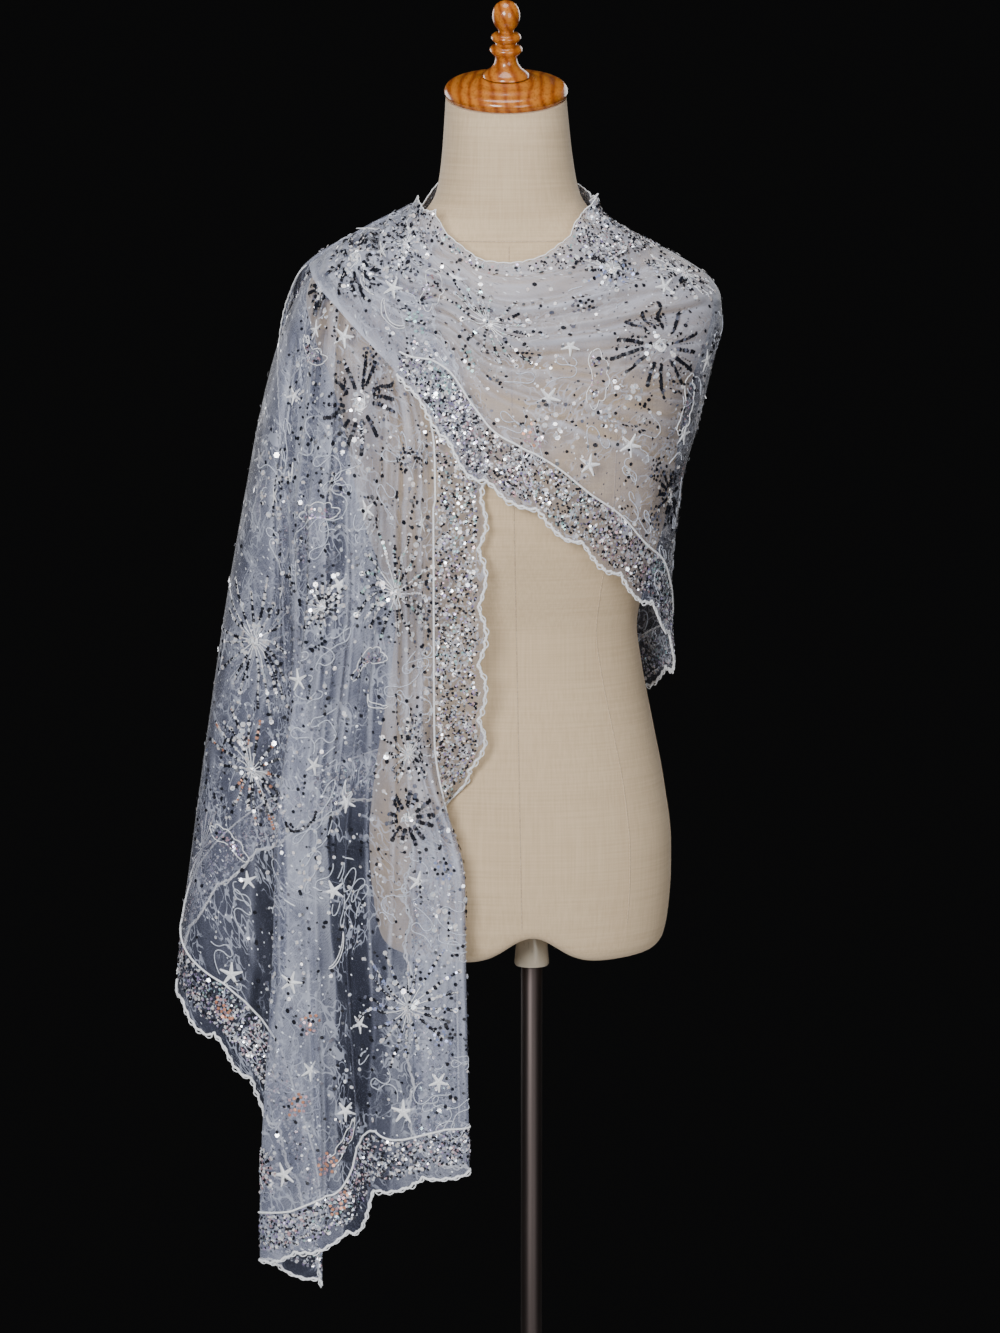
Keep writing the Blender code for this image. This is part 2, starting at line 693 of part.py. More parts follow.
def build_fall():
    tulle = material("fall_tulle", TULLE, 0.6)
    band = material("fall_sequins", SEQUINS, 0.4)
    places = [n / LINE_SAMPLES for n in range(LINE_SAMPLES * LAST_LINE + 1)]
    run = lengths_along([fall_at(place, fall_low(place)) for place in places])

    def hem_length(line):
        i = min(max(int(line * LINE_SAMPLES), 0), len(places) - 2)
        return mix(run[i], run[i + 1], line * LINE_SAMPLES - i)

    def low_point(line):
        line = min(max(line, 0.0), float(LAST_LINE))
        return fall_at(line, fall_low(line))

    def border_top(line):
        line = min(max(line, 0.0), float(LAST_LINE))
        return fall_low(line) + BORDER * fall_steep(line)

    def seam(line):
        return FOLDED_SEAM * fall_steep(line)

    def fall_steep(line):
        smooth = [steepness(low_point, line + shift, 0.5) for shift in (-0.3, 0, 0.3)]
        return sum(smooth) / 3

    def gap(height):
        """Half of the seam beside the cord line, as a share of the way to the next line."""
        near = fall_at(CORD_LINE + 0.1, height) - fall_at(CORD_LINE - 0.1, height)
        return SEAM * 0.2 / near.length

    def beside_cord(line, height):
        return line + gap(height) * max(CORD_LINE + 1 - line, 0)

    def field(line, down):
        height = mix(FALL_TOP, border_top(line) + seam(line), down)
        return fall_at(beside_cord(line, height), height)

    steps = (LAST_LINE - CORD_LINE) * FALL_STEPS
    columns = [mix(CORD_LINE, LAST_LINE - SIDE_GAP, n / steps) for n in range(steps + 1)]
    corner = (CORNER_LINE - CORD_LINE) * FALL_STEPS
    columns[corner : corner + 1] = [CORNER_LINE - CORNER_GAP, CORNER_LINE + CORNER_GAP]
    wall("fall_field", field, FALL_ROWS, columns, plain, tulle)

    def hem_band(line, down):
        full = fall_steep(line) * (BORDER * down + scallop(hem_length(line)) * at_edge(down))
        height = border_top(line) - full
        return fall_at(beside_cord(line, height), height)

    wall("fall_hem_border", hem_band, BORDER_ROWS, columns[: corner + 1], cord_and_edge, band)
    wall("fall_outer_border", hem_band, BORDER_ROWS, columns[corner + 1 :], cord_and_edge, band)

    # The inner border runs down beside the field: its rows count along its length
    shares = [n / LENGTH_SAMPLES for n in range(LENGTH_SAMPLES + 1)]
    heights = [mix(FALL_TOP, fall_low(0), share) for share in shares]
    edge_run = lengths_along([fall_at(0, height) for height in heights])
    inner_heights = [
        at_length(edge_run, heights, edge_run[-1] * n / FALL_INNER_ROWS)
        for n in range(FALL_INNER_ROWS + 1)
    ]

    seam_heights = [mix(FALL_TOP, border_top(CORD_LINE) + seam(CORD_LINE), row) for row in FALL_ROWS]
    seam_heights.append(fall_low(CORD_LINE))

    for height in seam_heights[1:-2]:
        near = min(range(1, FALL_INNER_ROWS), key=lambda n: abs(inner_heights[n] - height))
        inner_heights[near] = height

    def seam_point(height):
        """A point of the straight run between the field's own points, a seam away."""
        n = max(m for m in range(len(seam_heights) - 1) if m == 0 or seam_heights[m] >= height)
        f = (height - seam_heights[n]) / (seam_heights[n + 1] - seam_heights[n])
        ends = [fall_at(CORD_LINE - gap(at), at) for at in seam_heights[n : n + 2]]
        return ends[0].lerp(ends[1], f)

    def inner_band(across, row):
        i = min(max(int(row), 0), FALL_INNER_ROWS - 1)
        height = mix(inner_heights[i], inner_heights[i + 1], row - i)
        length = edge_run[-1] * row / FALL_INNER_ROWS
        line = max(CORD_LINE * across, 0)
        height += (fall_low(line) - fall_low(0)) * ease(3 * row / FALL_INNER_ROWS - 2)
        shown = fall_at(line, height)
        seated = seam_point(height) - fall_at(CORD_LINE, height)
        edge, beside = fall_at(0, height), fall_at(0.25, height)
        wave = scallop(length) * max(INNER_EDGE - across, 0) / INNER_EDGE
        return shown + (edge - beside).normalized() * wave + seated * max(across - 0.6, 0) / 0.4

    inner_rows = [float(n) for n in range(FALL_INNER_ROWS + 1)]

    def inner_raised(across, row):
        return RAISED if across in (0.0, 1.0) else 0.0

    inner_columns = (0.0, INNER_EDGE, 0.9, 1.0)
    wall("fall_inner_border", inner_band, inner_rows, inner_columns, inner_raised, band)


def neck_drop(turn):
    return NECK_BORDER * ease((turn - 90) / 35)


def lower_steepness(turn):
    def low_point(at):
        return wound_at(at, read(EDGES, "turn", "low", at))

    return steepness(low_point, turn, 4)


def lower_drop(turn):
    """How far the lower border's cord lies above the edge: it rolls under at the crossing."""
    rolled = ease((turn - ROLL_TURNS[0]) / (ROLL_TURNS[1] - ROLL_TURNS[0]))
    return mix(BORDER, ROLLED_EDGE, rolled) * lower_steepness(turn)


def wound_columns(first, last):
    """Turns that are evenly spaced along the lower edge, a few to each scallop."""
    turns = [mix(first, last, n / LENGTH_SAMPLES) for n in range(LENGTH_SAMPLES + 1)]
    run = lengths_along([wound_at(t, read(EDGES, "turn", "low", t)) for t in turns])
    scallops = round(run[-1] / SCALLOP_PITCH)
    steps = scallops * SCALLOP_SAMPLES
    columns = [at_length(run, turns, run[-1] * n / steps) for n in range(steps + 1)]
    columns[0] += SEAM_TURN
    columns[-1] -= SEAM_TURN

    def wave(turn):
        if turn >= ROLL_TURNS[1]:
            return 0.0
        i = max(n for n in range(LENGTH_SAMPLES) if turns[n] <= turn or n == 0)
        length = mix(run[i], run[i + 1], (turn - turns[i]) / (turns[i + 1] - turns[i]))
        fade = 1 - ease((turn - ROLL_TURNS[0]) / (ROLL_TURNS[1] - ROLL_TURNS[0]))
        return SCALLOP_DEPTH * abs(math.sin(math.pi * scallops * length / run[-1])) * fade

    return columns, wave


def build_wound(name, turns, neck_from):
    """A field between its two borders, from one turn to another."""
    tulle = material(name + "_tulle", TULLE, 0.6)
    band = material(name + "_sequins", SEQUINS, 0.4)
    columns, wave = wound_columns(*turns)

    def top(turn):
        return read(EDGES, "turn", "top", turn)

    def low(turn):
        return read(EDGES, "turn", "low", turn)

    def field(turn, down):
        upper = top(turn) - neck_drop(turn) - SEAM
        lower = low(turn) + lower_drop(turn) + SEAM * lower_steepness(turn)
        return wound_at(turn, mix(upper, lower, down))

    wall(name + "_field", field, FIELD_ROWS, columns, plain, tulle)

    def neck(turn, down):
        return wound_at(turn, top(turn) - neck_drop(turn) * down)

    neck_columns = [turn for turn in columns if turn > neck_from]

    def neck_raised(turn, down):
        return RAISED if down == 0 else 0.0

    wall(name + "_neck_border", neck, (0.0, 0.2, 1.0), neck_columns, neck_raised, band)

    def border(turn, down):
        drop = lower_drop(turn)
        extra = wave(turn) * drop / BORDER * at_edge(down)
        return wound_at(turn, low(turn) + drop * (1 - down) - extra)

    wall(name + "_lower_border", border, BORDER_ROWS, columns, cord_and_edge, band)


def build_end():
    """The thrown end: it starts on the chest stretch's own points, a seam away."""
    top = read(EDGES, "turn", "top", END_TURN)
    low = read(EDGES, "turn", "low", END_TURN)
    neck, edge = neck_drop(END_TURN), lower_drop(END_TURN - 0.1)
    heights = [low, low + edge * 0.13]
    heights += [mix(low + edge, top - neck, up) for up in (1 - row for row in FIELD_ROWS[::-1])]
    heights += [top - 0.2 * neck, top]
    columns = [(height - low) / (top - low) for height in heights]

    def field(column, row):
        return end_at(1 - column, mix(END_START, END_BORDER_AT, row))

    rows = [row / END_ROWS for row in range(END_ROWS + 1)]
    wall("end_field", field, rows, columns, plain, material("end_tulle", TULLE, 0.6))

    def hem(column, row):
        wave = END_WAVE * abs(math.sin(math.pi * END_SCALLOPS * column)) * at_edge(row)
        return end_at(1 - column, mix(END_BORDER_AT + END_SEAM, 1.0 + wave, row))

    band = material("end_sequins", SEQUINS, 0.4)
    wall("end_hem_border", hem, BORDER_ROWS, columns, cord_and_edge, band)


clear_scene()
PARTS = bpy.data.collections.new("lace_shawl_on_dress_form")
bpy.context.scene.collection.children.link(PARTS)
build_base()
build_pole()
build_collar()
build_form()
build_cap()
build_finial()
build_fall()
build_wound("back", BACK_TURNS, NECK_BORDER_TURN)
build_wound("chest", CHEST_TURNS, CHEST_TURNS[0])
build_end()
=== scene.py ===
"""The looks of a sheer embroidered shawl, wound round a limbless dress form on a pole stand.

Metres, +Z up. The front of the form faces -Y. A place on the form or in the cloth is given
by a height and a turn, an angle in degrees round the form seen from above: 0 at the front,
90 at the side of -X, 180 at the back and 270 at the side of +X. The shawl is wound for more
than a whole turn, so its chest stretch, which lies over the fall, has turns from 270 to 450.
"""

import math
import random
from collections import namedtuple
from functools import partial

import bmesh
import bpy
import numpy as np
from mathutils import Matrix, Vector
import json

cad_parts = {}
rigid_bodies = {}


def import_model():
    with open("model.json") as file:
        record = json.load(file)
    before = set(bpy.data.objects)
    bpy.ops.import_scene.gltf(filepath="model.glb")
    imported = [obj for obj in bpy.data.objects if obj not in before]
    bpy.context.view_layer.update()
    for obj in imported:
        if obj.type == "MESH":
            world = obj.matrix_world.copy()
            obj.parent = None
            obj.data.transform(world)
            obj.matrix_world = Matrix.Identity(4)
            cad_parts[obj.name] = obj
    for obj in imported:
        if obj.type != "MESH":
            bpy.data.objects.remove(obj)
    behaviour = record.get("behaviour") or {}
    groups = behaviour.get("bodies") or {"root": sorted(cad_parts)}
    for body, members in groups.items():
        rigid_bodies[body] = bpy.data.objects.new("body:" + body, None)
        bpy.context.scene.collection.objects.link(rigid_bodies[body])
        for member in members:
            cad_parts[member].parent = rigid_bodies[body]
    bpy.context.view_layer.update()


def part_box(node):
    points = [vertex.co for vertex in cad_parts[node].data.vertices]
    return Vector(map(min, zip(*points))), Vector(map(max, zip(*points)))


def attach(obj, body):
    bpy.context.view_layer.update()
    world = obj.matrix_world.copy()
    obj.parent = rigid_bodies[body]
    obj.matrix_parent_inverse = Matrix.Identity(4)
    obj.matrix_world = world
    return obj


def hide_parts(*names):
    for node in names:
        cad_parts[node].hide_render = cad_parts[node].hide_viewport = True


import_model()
parts = bpy.context.scene.collection.objects

# The camera: a little above the shoulders, looking slightly down, with a long lens. The
# picture is 1000 by 1333 and cuts the stand off well above its base, as the photograph does.
camera = bpy.data.objects.new("camera", bpy.data.cameras.new("camera"))
parts.link(camera)
camera.location = (-0.0304, -4.2, 1.66)
camera.rotation_euler = (math.radians(90 - 8.571), 0, 0)
camera.data.sensor_width = 36
camera.data.lens = 120.8
bpy.context.scene.camera = camera

# The studio: a plain pale floor, soft lamps on all sides and a dark room behind, against
# which the sheer net shows.
FLOOR_RADIUS = 1.05
LAMPS_AIM = Vector((0, 0, 1.15))


def table(columns, *rows):
    """The rows of a table whose columns are named."""
    kind = namedtuple("Row", columns)
    return [kind(*row) for row in rows]


LAMPS = table(
    "name place size watts",
    ("key", (-1.0, -3.1, 2.0), 1.2, 118),
    ("fill", (1.6, -3.0, 1.3), 1.8, 44),
    ("top", (-0.1, -0.5, 3.2), 1.2, 26),
    ("behind", (1.3, 2.4, 2.0), 1.6, 16),
    ("behind_left", (-1.7, 1.9, 1.6), 1.4, 18),
)


def finish_of(name, colour, roughness, fixed=None):
    """A new finish: its colour, its roughness and the other numbers that are the same all over."""
    finish = bpy.data.materials.new(name)
    finish.use_nodes = True
    sockets = finish.node_tree.nodes["Principled BSDF"].inputs
    sockets["Base Color"].default_value = (*colour, 1)
    sockets["Roughness"].default_value = roughness
    for socket, value in (fixed or {}).items():
        sockets[socket].default_value = value
    return finish


def put(finish, kind, inputs=None, **settings):
    """Adds a node to a finish, with each input set to a value or linked to a socket."""
    node = finish.node_tree.nodes.new(kind)
    for key, value in settings.items():
        setattr(node, key, value)
    for key, value in (inputs or {}).items():
        if isinstance(value, bpy.types.NodeSocket):
            finish.node_tree.links.new(value, node.inputs[key])
        else:
            node.inputs[key].default_value = value
    return node


def object_place(finish):
    """Places on the object itself, so that a pattern moves with it."""
    return put(finish, "ShaderNodeTexCoord").outputs["Object"]


def feed(finish, socket, value):
    """Links a socket to the finish's shader."""
    shader = finish.node_tree.nodes["Principled BSDF"]
    finish.node_tree.links.new(value, shader.inputs[socket])


def speckle(finish, coordinates, scale, stretch=(1, 1, 1), detail=2.0):
    """Soft noise from 0 to 1, drawn out by a stretch along each direction."""
    mapped = put(finish, "ShaderNodeMapping", {"Vector": coordinates, "Scale": stretch})
    inputs = {"Vector": mapped.outputs[0], "Scale": scale, "Detail": detail}
    return put(finish, "ShaderNodeTexNoise", inputs).outputs["Fac"]


def blend_by(finish, share, stops):
    """A number or colour read from a ramp of (place, colour) stops."""
    ramp = put(finish, "ShaderNodeValToRGB", {"Fac": share})
    points = ramp.color_ramp.elements
    while len(points) < len(stops):
        points.new(0.5)
    for point, (place, colour) in zip(points, stops):
        point.position = place
        point.color = (*colour, 1) if hasattr(colour, "__len__") else (colour, colour, colour, 1)
    return ramp.outputs["Color"]


def vary(finish, socket, share, stops):
    """Lets a number or colour of the finish follow a ramp."""
    feed(finish, socket, blend_by(finish, share, stops))


def multiplied(finish, first, second):
    """Two colours multiplied by each other."""
    inputs = {0: 1.0, 6: first, 7: second}
    return put(finish, "ShaderNodeMix", inputs, data_type="RGBA", blend_type="MULTIPLY").outputs[2]


def raise_by(finish, height, depth):
    """Bump from a height between 0 and 1, whose full depth is given in metres."""
    bump = put(finish, "ShaderNodeBump", {"Height": height, "Distance": depth, "Strength": 1.0})
    feed(finish, "Normal", bump.outputs[0])


def keep_as(name, shape, finish, smooth=True):
    """Makes a bmesh a finished object of the scene, with its faces pointing out."""
    mesh = bpy.data.meshes.new(name)
    shape.to_mesh(mesh)
    shape.free()
    mesh.materials.append(finish)
    if smooth:
        mesh.shade_smooth()
    piece = bpy.data.objects.new(name, mesh)
    parts.link(piece)
    return piece


floor_paint = finish_of("pale_floor", (0.78, 0.77, 0.75), 0.7)
grain = object_place(floor_paint)
vary(floor_paint, "Roughness", speckle(floor_paint, grain, 9), [(0, 0.6), (1, 0.8)])
shape = bmesh.new()
bmesh.ops.create_circle(shape, cap_ends=True, radius=FLOOR_RADIUS, segments=96)
bmesh.ops.translate(shape, verts=shape.verts, vec=(0, 0, -0.0005))
keep_as("floor", shape, floor_paint, smooth=False)

for row in LAMPS:
    lamp = bpy.data.objects.new(row.name, bpy.data.lights.new(row.name, "AREA"))
    parts.link(lamp)
    lamp.data.shape = "DISK"
    lamp.data.size = row.size
    lamp.data.energy = row.watts
    lamp.location = row.place
    lamp.rotation_euler = (LAMPS_AIM - lamp.location).to_track_quat("-Z", "Y").to_euler()
    lamp.visible_camera = False

room = bpy.data.worlds.new("dark_room")
room.use_nodes = True
room.node_tree.nodes["Background"].inputs["Color"].default_value = (0.0044, 0.0044, 0.0046, 1)
bpy.context.scene.world = room

# The base plate: a spun steel disc with a low boss that takes the pole's foot. Its face is
# brushed round the middle and lightly scuffed.
base_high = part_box("base_plate")[1]
BASE_RADIUS = base_high.x
BASE_RIM = 0.010
BASE_CROWN = 0.006
BOSS_RADIUS = 0.030
SAME_POINT = 1e-6
SHARP_FROM = math.radians(50)
BASE_ROWS = table(
    "radius height",
    (0.0, base_high.z), (BOSS_RADIUS * 0.58, base_high.z),
    (BOSS_RADIUS * 0.68, base_high.z - 0.001), (BOSS_RADIUS * 0.76, base_high.z - 0.005),
    (BOSS_RADIUS * 0.97, 0.022), (BOSS_RADIUS * 1.08, 0.0185),
    (BOSS_RADIUS * 1.28, BASE_RIM + BASE_CROWN),
    (BASE_RADIUS * 0.80, BASE_RIM + BASE_CROWN * 0.6), (BASE_RADIUS - 0.006, BASE_RIM + 0.0005),
    (BASE_RADIUS - 0.002, BASE_RIM - 0.0012), (BASE_RADIUS, BASE_RIM - 0.004),
    (BASE_RADIUS, 0.0025), (BASE_RADIUS - 0.0015, 0.0005), (BASE_RADIUS - 0.004, 0.0),
    (0.0, 0.0),
)


def turned(name, rows, finish, steps=64, foot=(0, 0, 0), tilt=0.0):
    """A piece spun round its upright axis from its outline, top to bottom, then tilted."""
    shape = bmesh.new()
    line = [shape.verts.new((row.radius, 0, row.height)) for row in rows]
    edges = [shape.edges.new(pair) for pair in zip(line, line[1:])]
    whole = 2 * math.pi
    bmesh.ops.spin(shape, geom=line + edges, axis=(0, 0, 1), angle=whole, steps=steps, use_merge=True)
    bmesh.ops.remove_doubles(shape, verts=shape.verts, dist=SAME_POINT)
    bmesh.ops.recalc_face_normals(shape, faces=shape.faces)
    place = Matrix.Translation(foot) @ Matrix.Rotation(tilt, 4, "X")
    bmesh.ops.transform(shape, matrix=place, verts=shape.verts)
    piece = keep_as(name, shape, finish)
    piece.data.set_sharp_from_angle(angle=SHARP_FROM)
    return piece


brushed = finish_of("brushed_base", (0.50, 0.50, 0.51), 0.32, {"Metallic": 1.0})
place = object_place(brushed)
spun = {"Vector": place, "Scale": 260.0, "Distortion": 2.0, "Detail": 3.0}
rings = put(brushed, "ShaderNodeTexWave", spun, wave_type="RINGS", rings_direction="Z").outputs["Fac"]
vary(brushed, "Roughness", speckle(brushed, place, 14, detail=5), [(0.3, 0.26), (0.7, 0.44)])
raise_by(brushed, rings, 0.00004)
base = turned("stand_base", BASE_ROWS, brushed, steps=96)
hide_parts("base_plate")
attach(base, "stand")

# The pole: a satin-chromed steel tube that stands in the boss and runs up inside the form,
# with faint rubbed streaks along it. Its chrome is painted very dark, a painted reflection
# of the dark room round it.
pole_low, pole_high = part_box("pole")
POLE_RADIUS = pole_high.x
POLE_ROWS = table(
    "radius height",
    (0.0, pole_high.z), (POLE_RADIUS - 0.001, pole_high.z), (POLE_RADIUS, pole_high.z - 0.001),
    (POLE_RADIUS, pole_low.z), (0.0, pole_low.z),
)
# The metal colour is painted very dark in place of bright chrome: a painted reflection of the dark room.
chrome_painted_dark = finish_of("pole_chrome_painted_dark", (0.056, 0.045, 0.043), 0.5, {"Metallic": 1.0})
place = object_place(chrome_painted_dark)
streaks = speckle(chrome_painted_dark, place, 60, (1, 1, 0.03), 4)
vary(chrome_painted_dark, "Roughness", streaks, [(0.35, 0.46), (0.75, 0.62)])
pole = turned("stand_pole", POLE_ROWS, chrome_painted_dark)
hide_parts("pole")
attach(pole, "stand")

# The collar: a tapered, cream-enamelled sleeve under the form's foot, which grips the pole.
collar_low, collar_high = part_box("collar")
COLLAR_HOLE = POLE_RADIUS + 0.0006
COLLAR_ROWS = table(
    "radius height",
    (COLLAR_HOLE, collar_high.z), (0.0122, collar_high.z), (0.0130, collar_high.z - 0.001),
    (0.0131, collar_high.z - 0.006), (0.0142, collar_high.z - 0.012),
    (collar_high.x, collar_low.z + 0.005), (collar_high.x, collar_low.z + 0.0015),
    (collar_high.x - 0.001, collar_low.z), (COLLAR_HOLE, collar_low.z),
    (COLLAR_HOLE, collar_high.z),
)
ENAMEL_CREAM = (0.46, 0.40, 0.31)
enamel = finish_of("collar_enamel", ENAMEL_CREAM, 0.4, {"Metallic": 0.15, "Coat Weight": 0.3})
place = object_place(enamel)
scuffs = speckle(enamel, place, 300, (1, 1, 0.3), 5)
vary(enamel, "Roughness", scuffs, [(0.4, 0.32), (0.7, 0.6)])
vary(enamel, "Base Color", scuffs, [(0.62, ENAMEL_CREAM), (0.75, (0.30, 0.27, 0.22))])
collar = turned("form_collar", COLLAR_ROWS, enamel, steps=48)
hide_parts("collar")
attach(collar, "form")

# The dress form: a padded body covered in plain cream linen. Its panels are sewn together
# down the front, over the bust and at the sides, and a band is sewn round the neck.
FORM_COLUMNS = 168
FORM_ROWS = 150
LEAN = 0.0194
LEAN_FOOT = 0.750
LEAN_START = -0.009
FORM_POWER = 2.2
FORM_FOOT = 0.7535
CROTCH_HEIGHT = 0.027
CROTCH_SPREAD = 0.032
FORM_SECTIONS = table(
    "height half_width front back slant",
    (0.790, 0.1395, 0.098, 0.116, 0.0),
    (0.830, 0.1430, 0.102, 0.123, 0.0),
    (0.860, 0.1435, 0.103, 0.124, 0.0),
    (0.918, 0.1375, 0.101, 0.117, 0.0),
    (0.976, 0.1275, 0.096, 0.103, 0.0),
    (1.033, 0.1176, 0.090, 0.088, 0.0),
    (1.066, 0.1140, 0.090, 0.082, 0.0),
    (1.110, 0.1230, 0.104, 0.083, 0.0),
    (1.160, 0.1400, 0.120, 0.089, 0.0),
    (1.205, 0.1500, 0.125, 0.098, 0.0),
    (1.250, 0.1570, 0.119, 0.104, 0.0),
    (1.300, 0.1690, 0.106, 0.107, 0.0),
    (1.345, 0.1850, 0.091, 0.104, 0.0),
    (1.375, 0.1905, 0.083, 0.099, 0.0),
    (1.395, 0.1850, 0.077, 0.094, 0.0),
    (1.410, 0.1650, 0.073, 0.088, 1.0),
    (1.425, 0.1370, 0.069, 0.081, 2.0),
    (1.440, 0.1060, 0.066, 0.073, 4.0),
    (1.455, 0.0800, 0.064, 0.067, 6.0),
    (1.475, 0.0670, 0.063, 0.063, 9.0),
    (1.505, 0.0615, 0.062, 0.061, 12.0),
    (1.535, 0.0585, 0.061, 0.060, 14.0),
    (1.564, 0.0562, 0.057, 0.057, 15.0),
)
FORM_TOP = FORM_SECTIONS[-1].height
FORM_LOW = FORM_SECTIONS[0].height

# Below its lowest section the form rounds under, to a flat landing round the pole: each
# ring is a share of that section, at a rise above the foot
FOOT_RINGS = table(
    "row share rise",
    (0.00, 1.0, FORM_LOW - FORM_FOOT),
    (0.18, 0.992, 0.0295),
    (0.34, 0.965, 0.0155),
    (0.50, 0.900, 0.0055),
    (0.70, 0.760, 0.0010),
    (1.00, 0.500, 0.0),
)
SEAM_ROWS = table(
    "height princess back_princess",
    (0.775, 43, 141),
    (0.900, 44, 140),
    (1.060, 39, 143),
    (1.210, 36, 142),
    (1.350, 34, 140),
    (1.432, 30, 150),
)
NECK_SEAM = 1.437
SEAM_RADIUS = 0.00055


def mix(a, b, f):
    return a + (b - a) * f


def ease(f):
    f = np.clip(f, 0.0, 1.0)
    return f * f * (3 - 2 * f)


def read(rows, column, at):
    """A table's column, read smoothly and without overshoot at values of its first column."""
    where = np.array([row[0] for row in rows], float)
    values = np.array([getattr(row, column) for row in rows], float)
    slope = np.diff(values) / np.diff(where)
    both = slope[:-1] * slope[1:]
    total = np.where(both > 0, slope[:-1] + slope[1:], 1.0)
    inner = np.where(both > 0, 2 * both / total, 0.0)
    tangent = np.concatenate([slope[:1], inner, slope[-1:]])
    at = np.clip(at, where[0], where[-1])
    i = np.clip(np.searchsorted(where, at, side="right") - 1, 0, len(where) - 2)
    span = where[i + 1] - where[i]
    f = (at - where[i]) / span
    return (
        (2 * f**3 - 3 * f**2 + 1) * values[i]
        + (f**3 - 2 * f**2 + f) * tangent[i] * span
        + (3 * f**2 - 2 * f**3) * values[i + 1]
        + (f**3 - f**2) * tangent[i + 1] * span
    )


def rounded(value, power):
    return np.sign(value) * np.abs(value) ** (2 / power)


def centre(height):
    """The form leans a little to the side of -X."""
    return LEAN_START - LEAN * (height - LEAN_FOOT)


def shell_point(sections, power, halves, height, turn):
    """A point of a closed shape. halves names its half widths on the sides of -X and +X."""
    side, ahead = np.sin(np.radians(turn)), np.cos(np.radians(turn))
    columns = (*halves, "front", "back", "slant")
    left, right, front, back, slant = (read(sections, column, height) for column in columns)
    x = centre(height) - np.where(side > 0, left, right) * rounded(side, power)
    y = -np.where(ahead > 0, front, back) * rounded(ahead, power)
    return np.stack([x, y, height + y * np.tan(np.radians(slant))], axis=-1)


def form_point(height, turn):
    return shell_point(FORM_SECTIONS, FORM_POWER, ("half_width", "half_width"), height, turn)


def foot_point(row, turn):
    """A point of the rounded foot: row runs from 0, at the lowest section, to 1, inside."""
    edge = form_point(FORM_LOW, turn)
    share = read(FOOT_RINGS, "share", row)
    x = centre(FORM_LOW) + (edge[..., 0] - centre(FORM_LOW)) * share
    rise = read(FOOT_RINGS, "rise", row)
    crotch = CROTCH_HEIGHT * np.exp(-((x / CROTCH_SPREAD) ** 2)) * (1 - rise / (FORM_LOW - FORM_FOOT))
    return np.stack([x, edge[..., 1] * share, FORM_FOOT + rise + crotch], axis=-1)


def grid_of(points, name, finish, close=False):
    """A sheet of faces laid over a net of points, facing away from the pole."""
    high, wide = points.shape[:2]
    shape = bmesh.new()
    bmesh.ops.create_grid(shape, x_segments=wide - 1, y_segments=high - 1, size=0.5)
    steps = np.array([wide - 1, high - 1])
    places = [tuple(np.round((np.array(v.co[:2]) + 0.5) * steps).astype(int)[::-1]) for v in shape.verts]
    for vert, place in zip(shape.verts, places):
        vert.co = points[place]
    across, along = np.gradient(points, axis=1), np.gradient(points, axis=0)
    away = points - (points.reshape(-1, 3).mean(0) if close else 0)
    away[..., 2] = 0
    if (np.cross(across, along) * away).sum() < 0:
        bmesh.ops.reverse_faces(shape, faces=shape.faces)
    if close:
        bmesh.ops.remove_doubles(shape, verts=shape.verts, dist=SAME_POINT)
    return keep_as(name, shape, finish), places


sheen = {"Sheen Weight": 0.15, "Sheen Roughness": 0.5}
linen = finish_of("cream_linen", (0.62, 0.49, 0.345), 0.82, sheen)
place = object_place(linen)
slubs = speckle(linen, place, 90, (0.12, 0.12, 6), 3)
warps = speckle(linen, place, 90, (6, 6, 0.12), 3)
threads = put(linen, "ShaderNodeMath", {0: slubs, 1: warps}, operation="ADD").outputs[0]
half_threads = put(linen, "ShaderNodeMath", {0: threads, 1: 0.5}, operation="MULTIPLY").outputs[0]
shade = blend_by(linen, half_threads, [(0.36, (0.56, 0.415, 0.258)), (0.62, (0.65, 0.495, 0.32))])
soiled = speckle(linen, place, 5, (1, 1, 0.6), 4)
tone = blend_by(linen, soiled, [(0.3, (0.93, 0.92, 0.90)), (0.7, (1.0, 1.0, 1.0))])
feed(linen, "Base Color", multiplied(linen, shade, tone))
raise_by(linen, half_threads, 0.0005)

turns = np.linspace(0, 360, FORM_COLUMNS + 1)
heights = np.linspace(FORM_TOP, FORM_LOW, FORM_ROWS)
body = form_point(heights[:, None], turns[None, :])
foot = foot_point(np.linspace(0, 1, 24)[1:, None], turns[None, :])
middle = body[0].mean(0)
crown = np.stack([mix(middle, body[0], share) for share in (0.0, 0.5, 0.9, 0.985)])
landing = np.array([0, 0, FORM_FOOT + CROTCH_HEIGHT])
circle = np.stack([-np.sin(np.radians(turns)), -np.cos(np.radians(turns)), 0 * turns], axis=-1)
bore_top = np.array([0, 0, pole_high.z + 0.004])
bore = [circle * radius + top for radius, top in ((0.016, landing), (COLLAR_HOLE, landing))]
bore += [circle * radius + bore_top for radius in (COLLAR_HOLE, 0)]
form, _ = grid_of(np.concatenate([crown, body, foot, np.stack(bore)]), "padded_form", linen, close=True)
form.data.set_sharp_from_angle(angle=SHARP_FROM)
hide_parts("dress_form")
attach(form, "form")


def thread_lines(name, lines, radius, finish, sides=1):
    """Threads or cords of one thickness along lines of points, as one curve object."""
    curve = bpy.data.curves.new(name, "CURVE")
    curve.dimensions = "3D"
    curve.bevel_depth = radius
    curve.bevel_resolution = sides
    curve.use_fill_caps = True
    for line in lines:
        spline = curve.splines.new("POLY")
        spline.points.add(len(line) - 1)
        spline.points.foreach_set("co", np.column_stack([line, np.ones(len(line))]).ravel())
    curve.materials.append(finish)
    piece = bpy.data.objects.new(name, curve)
    parts.link(piece)
    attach(piece, "form")
    return piece


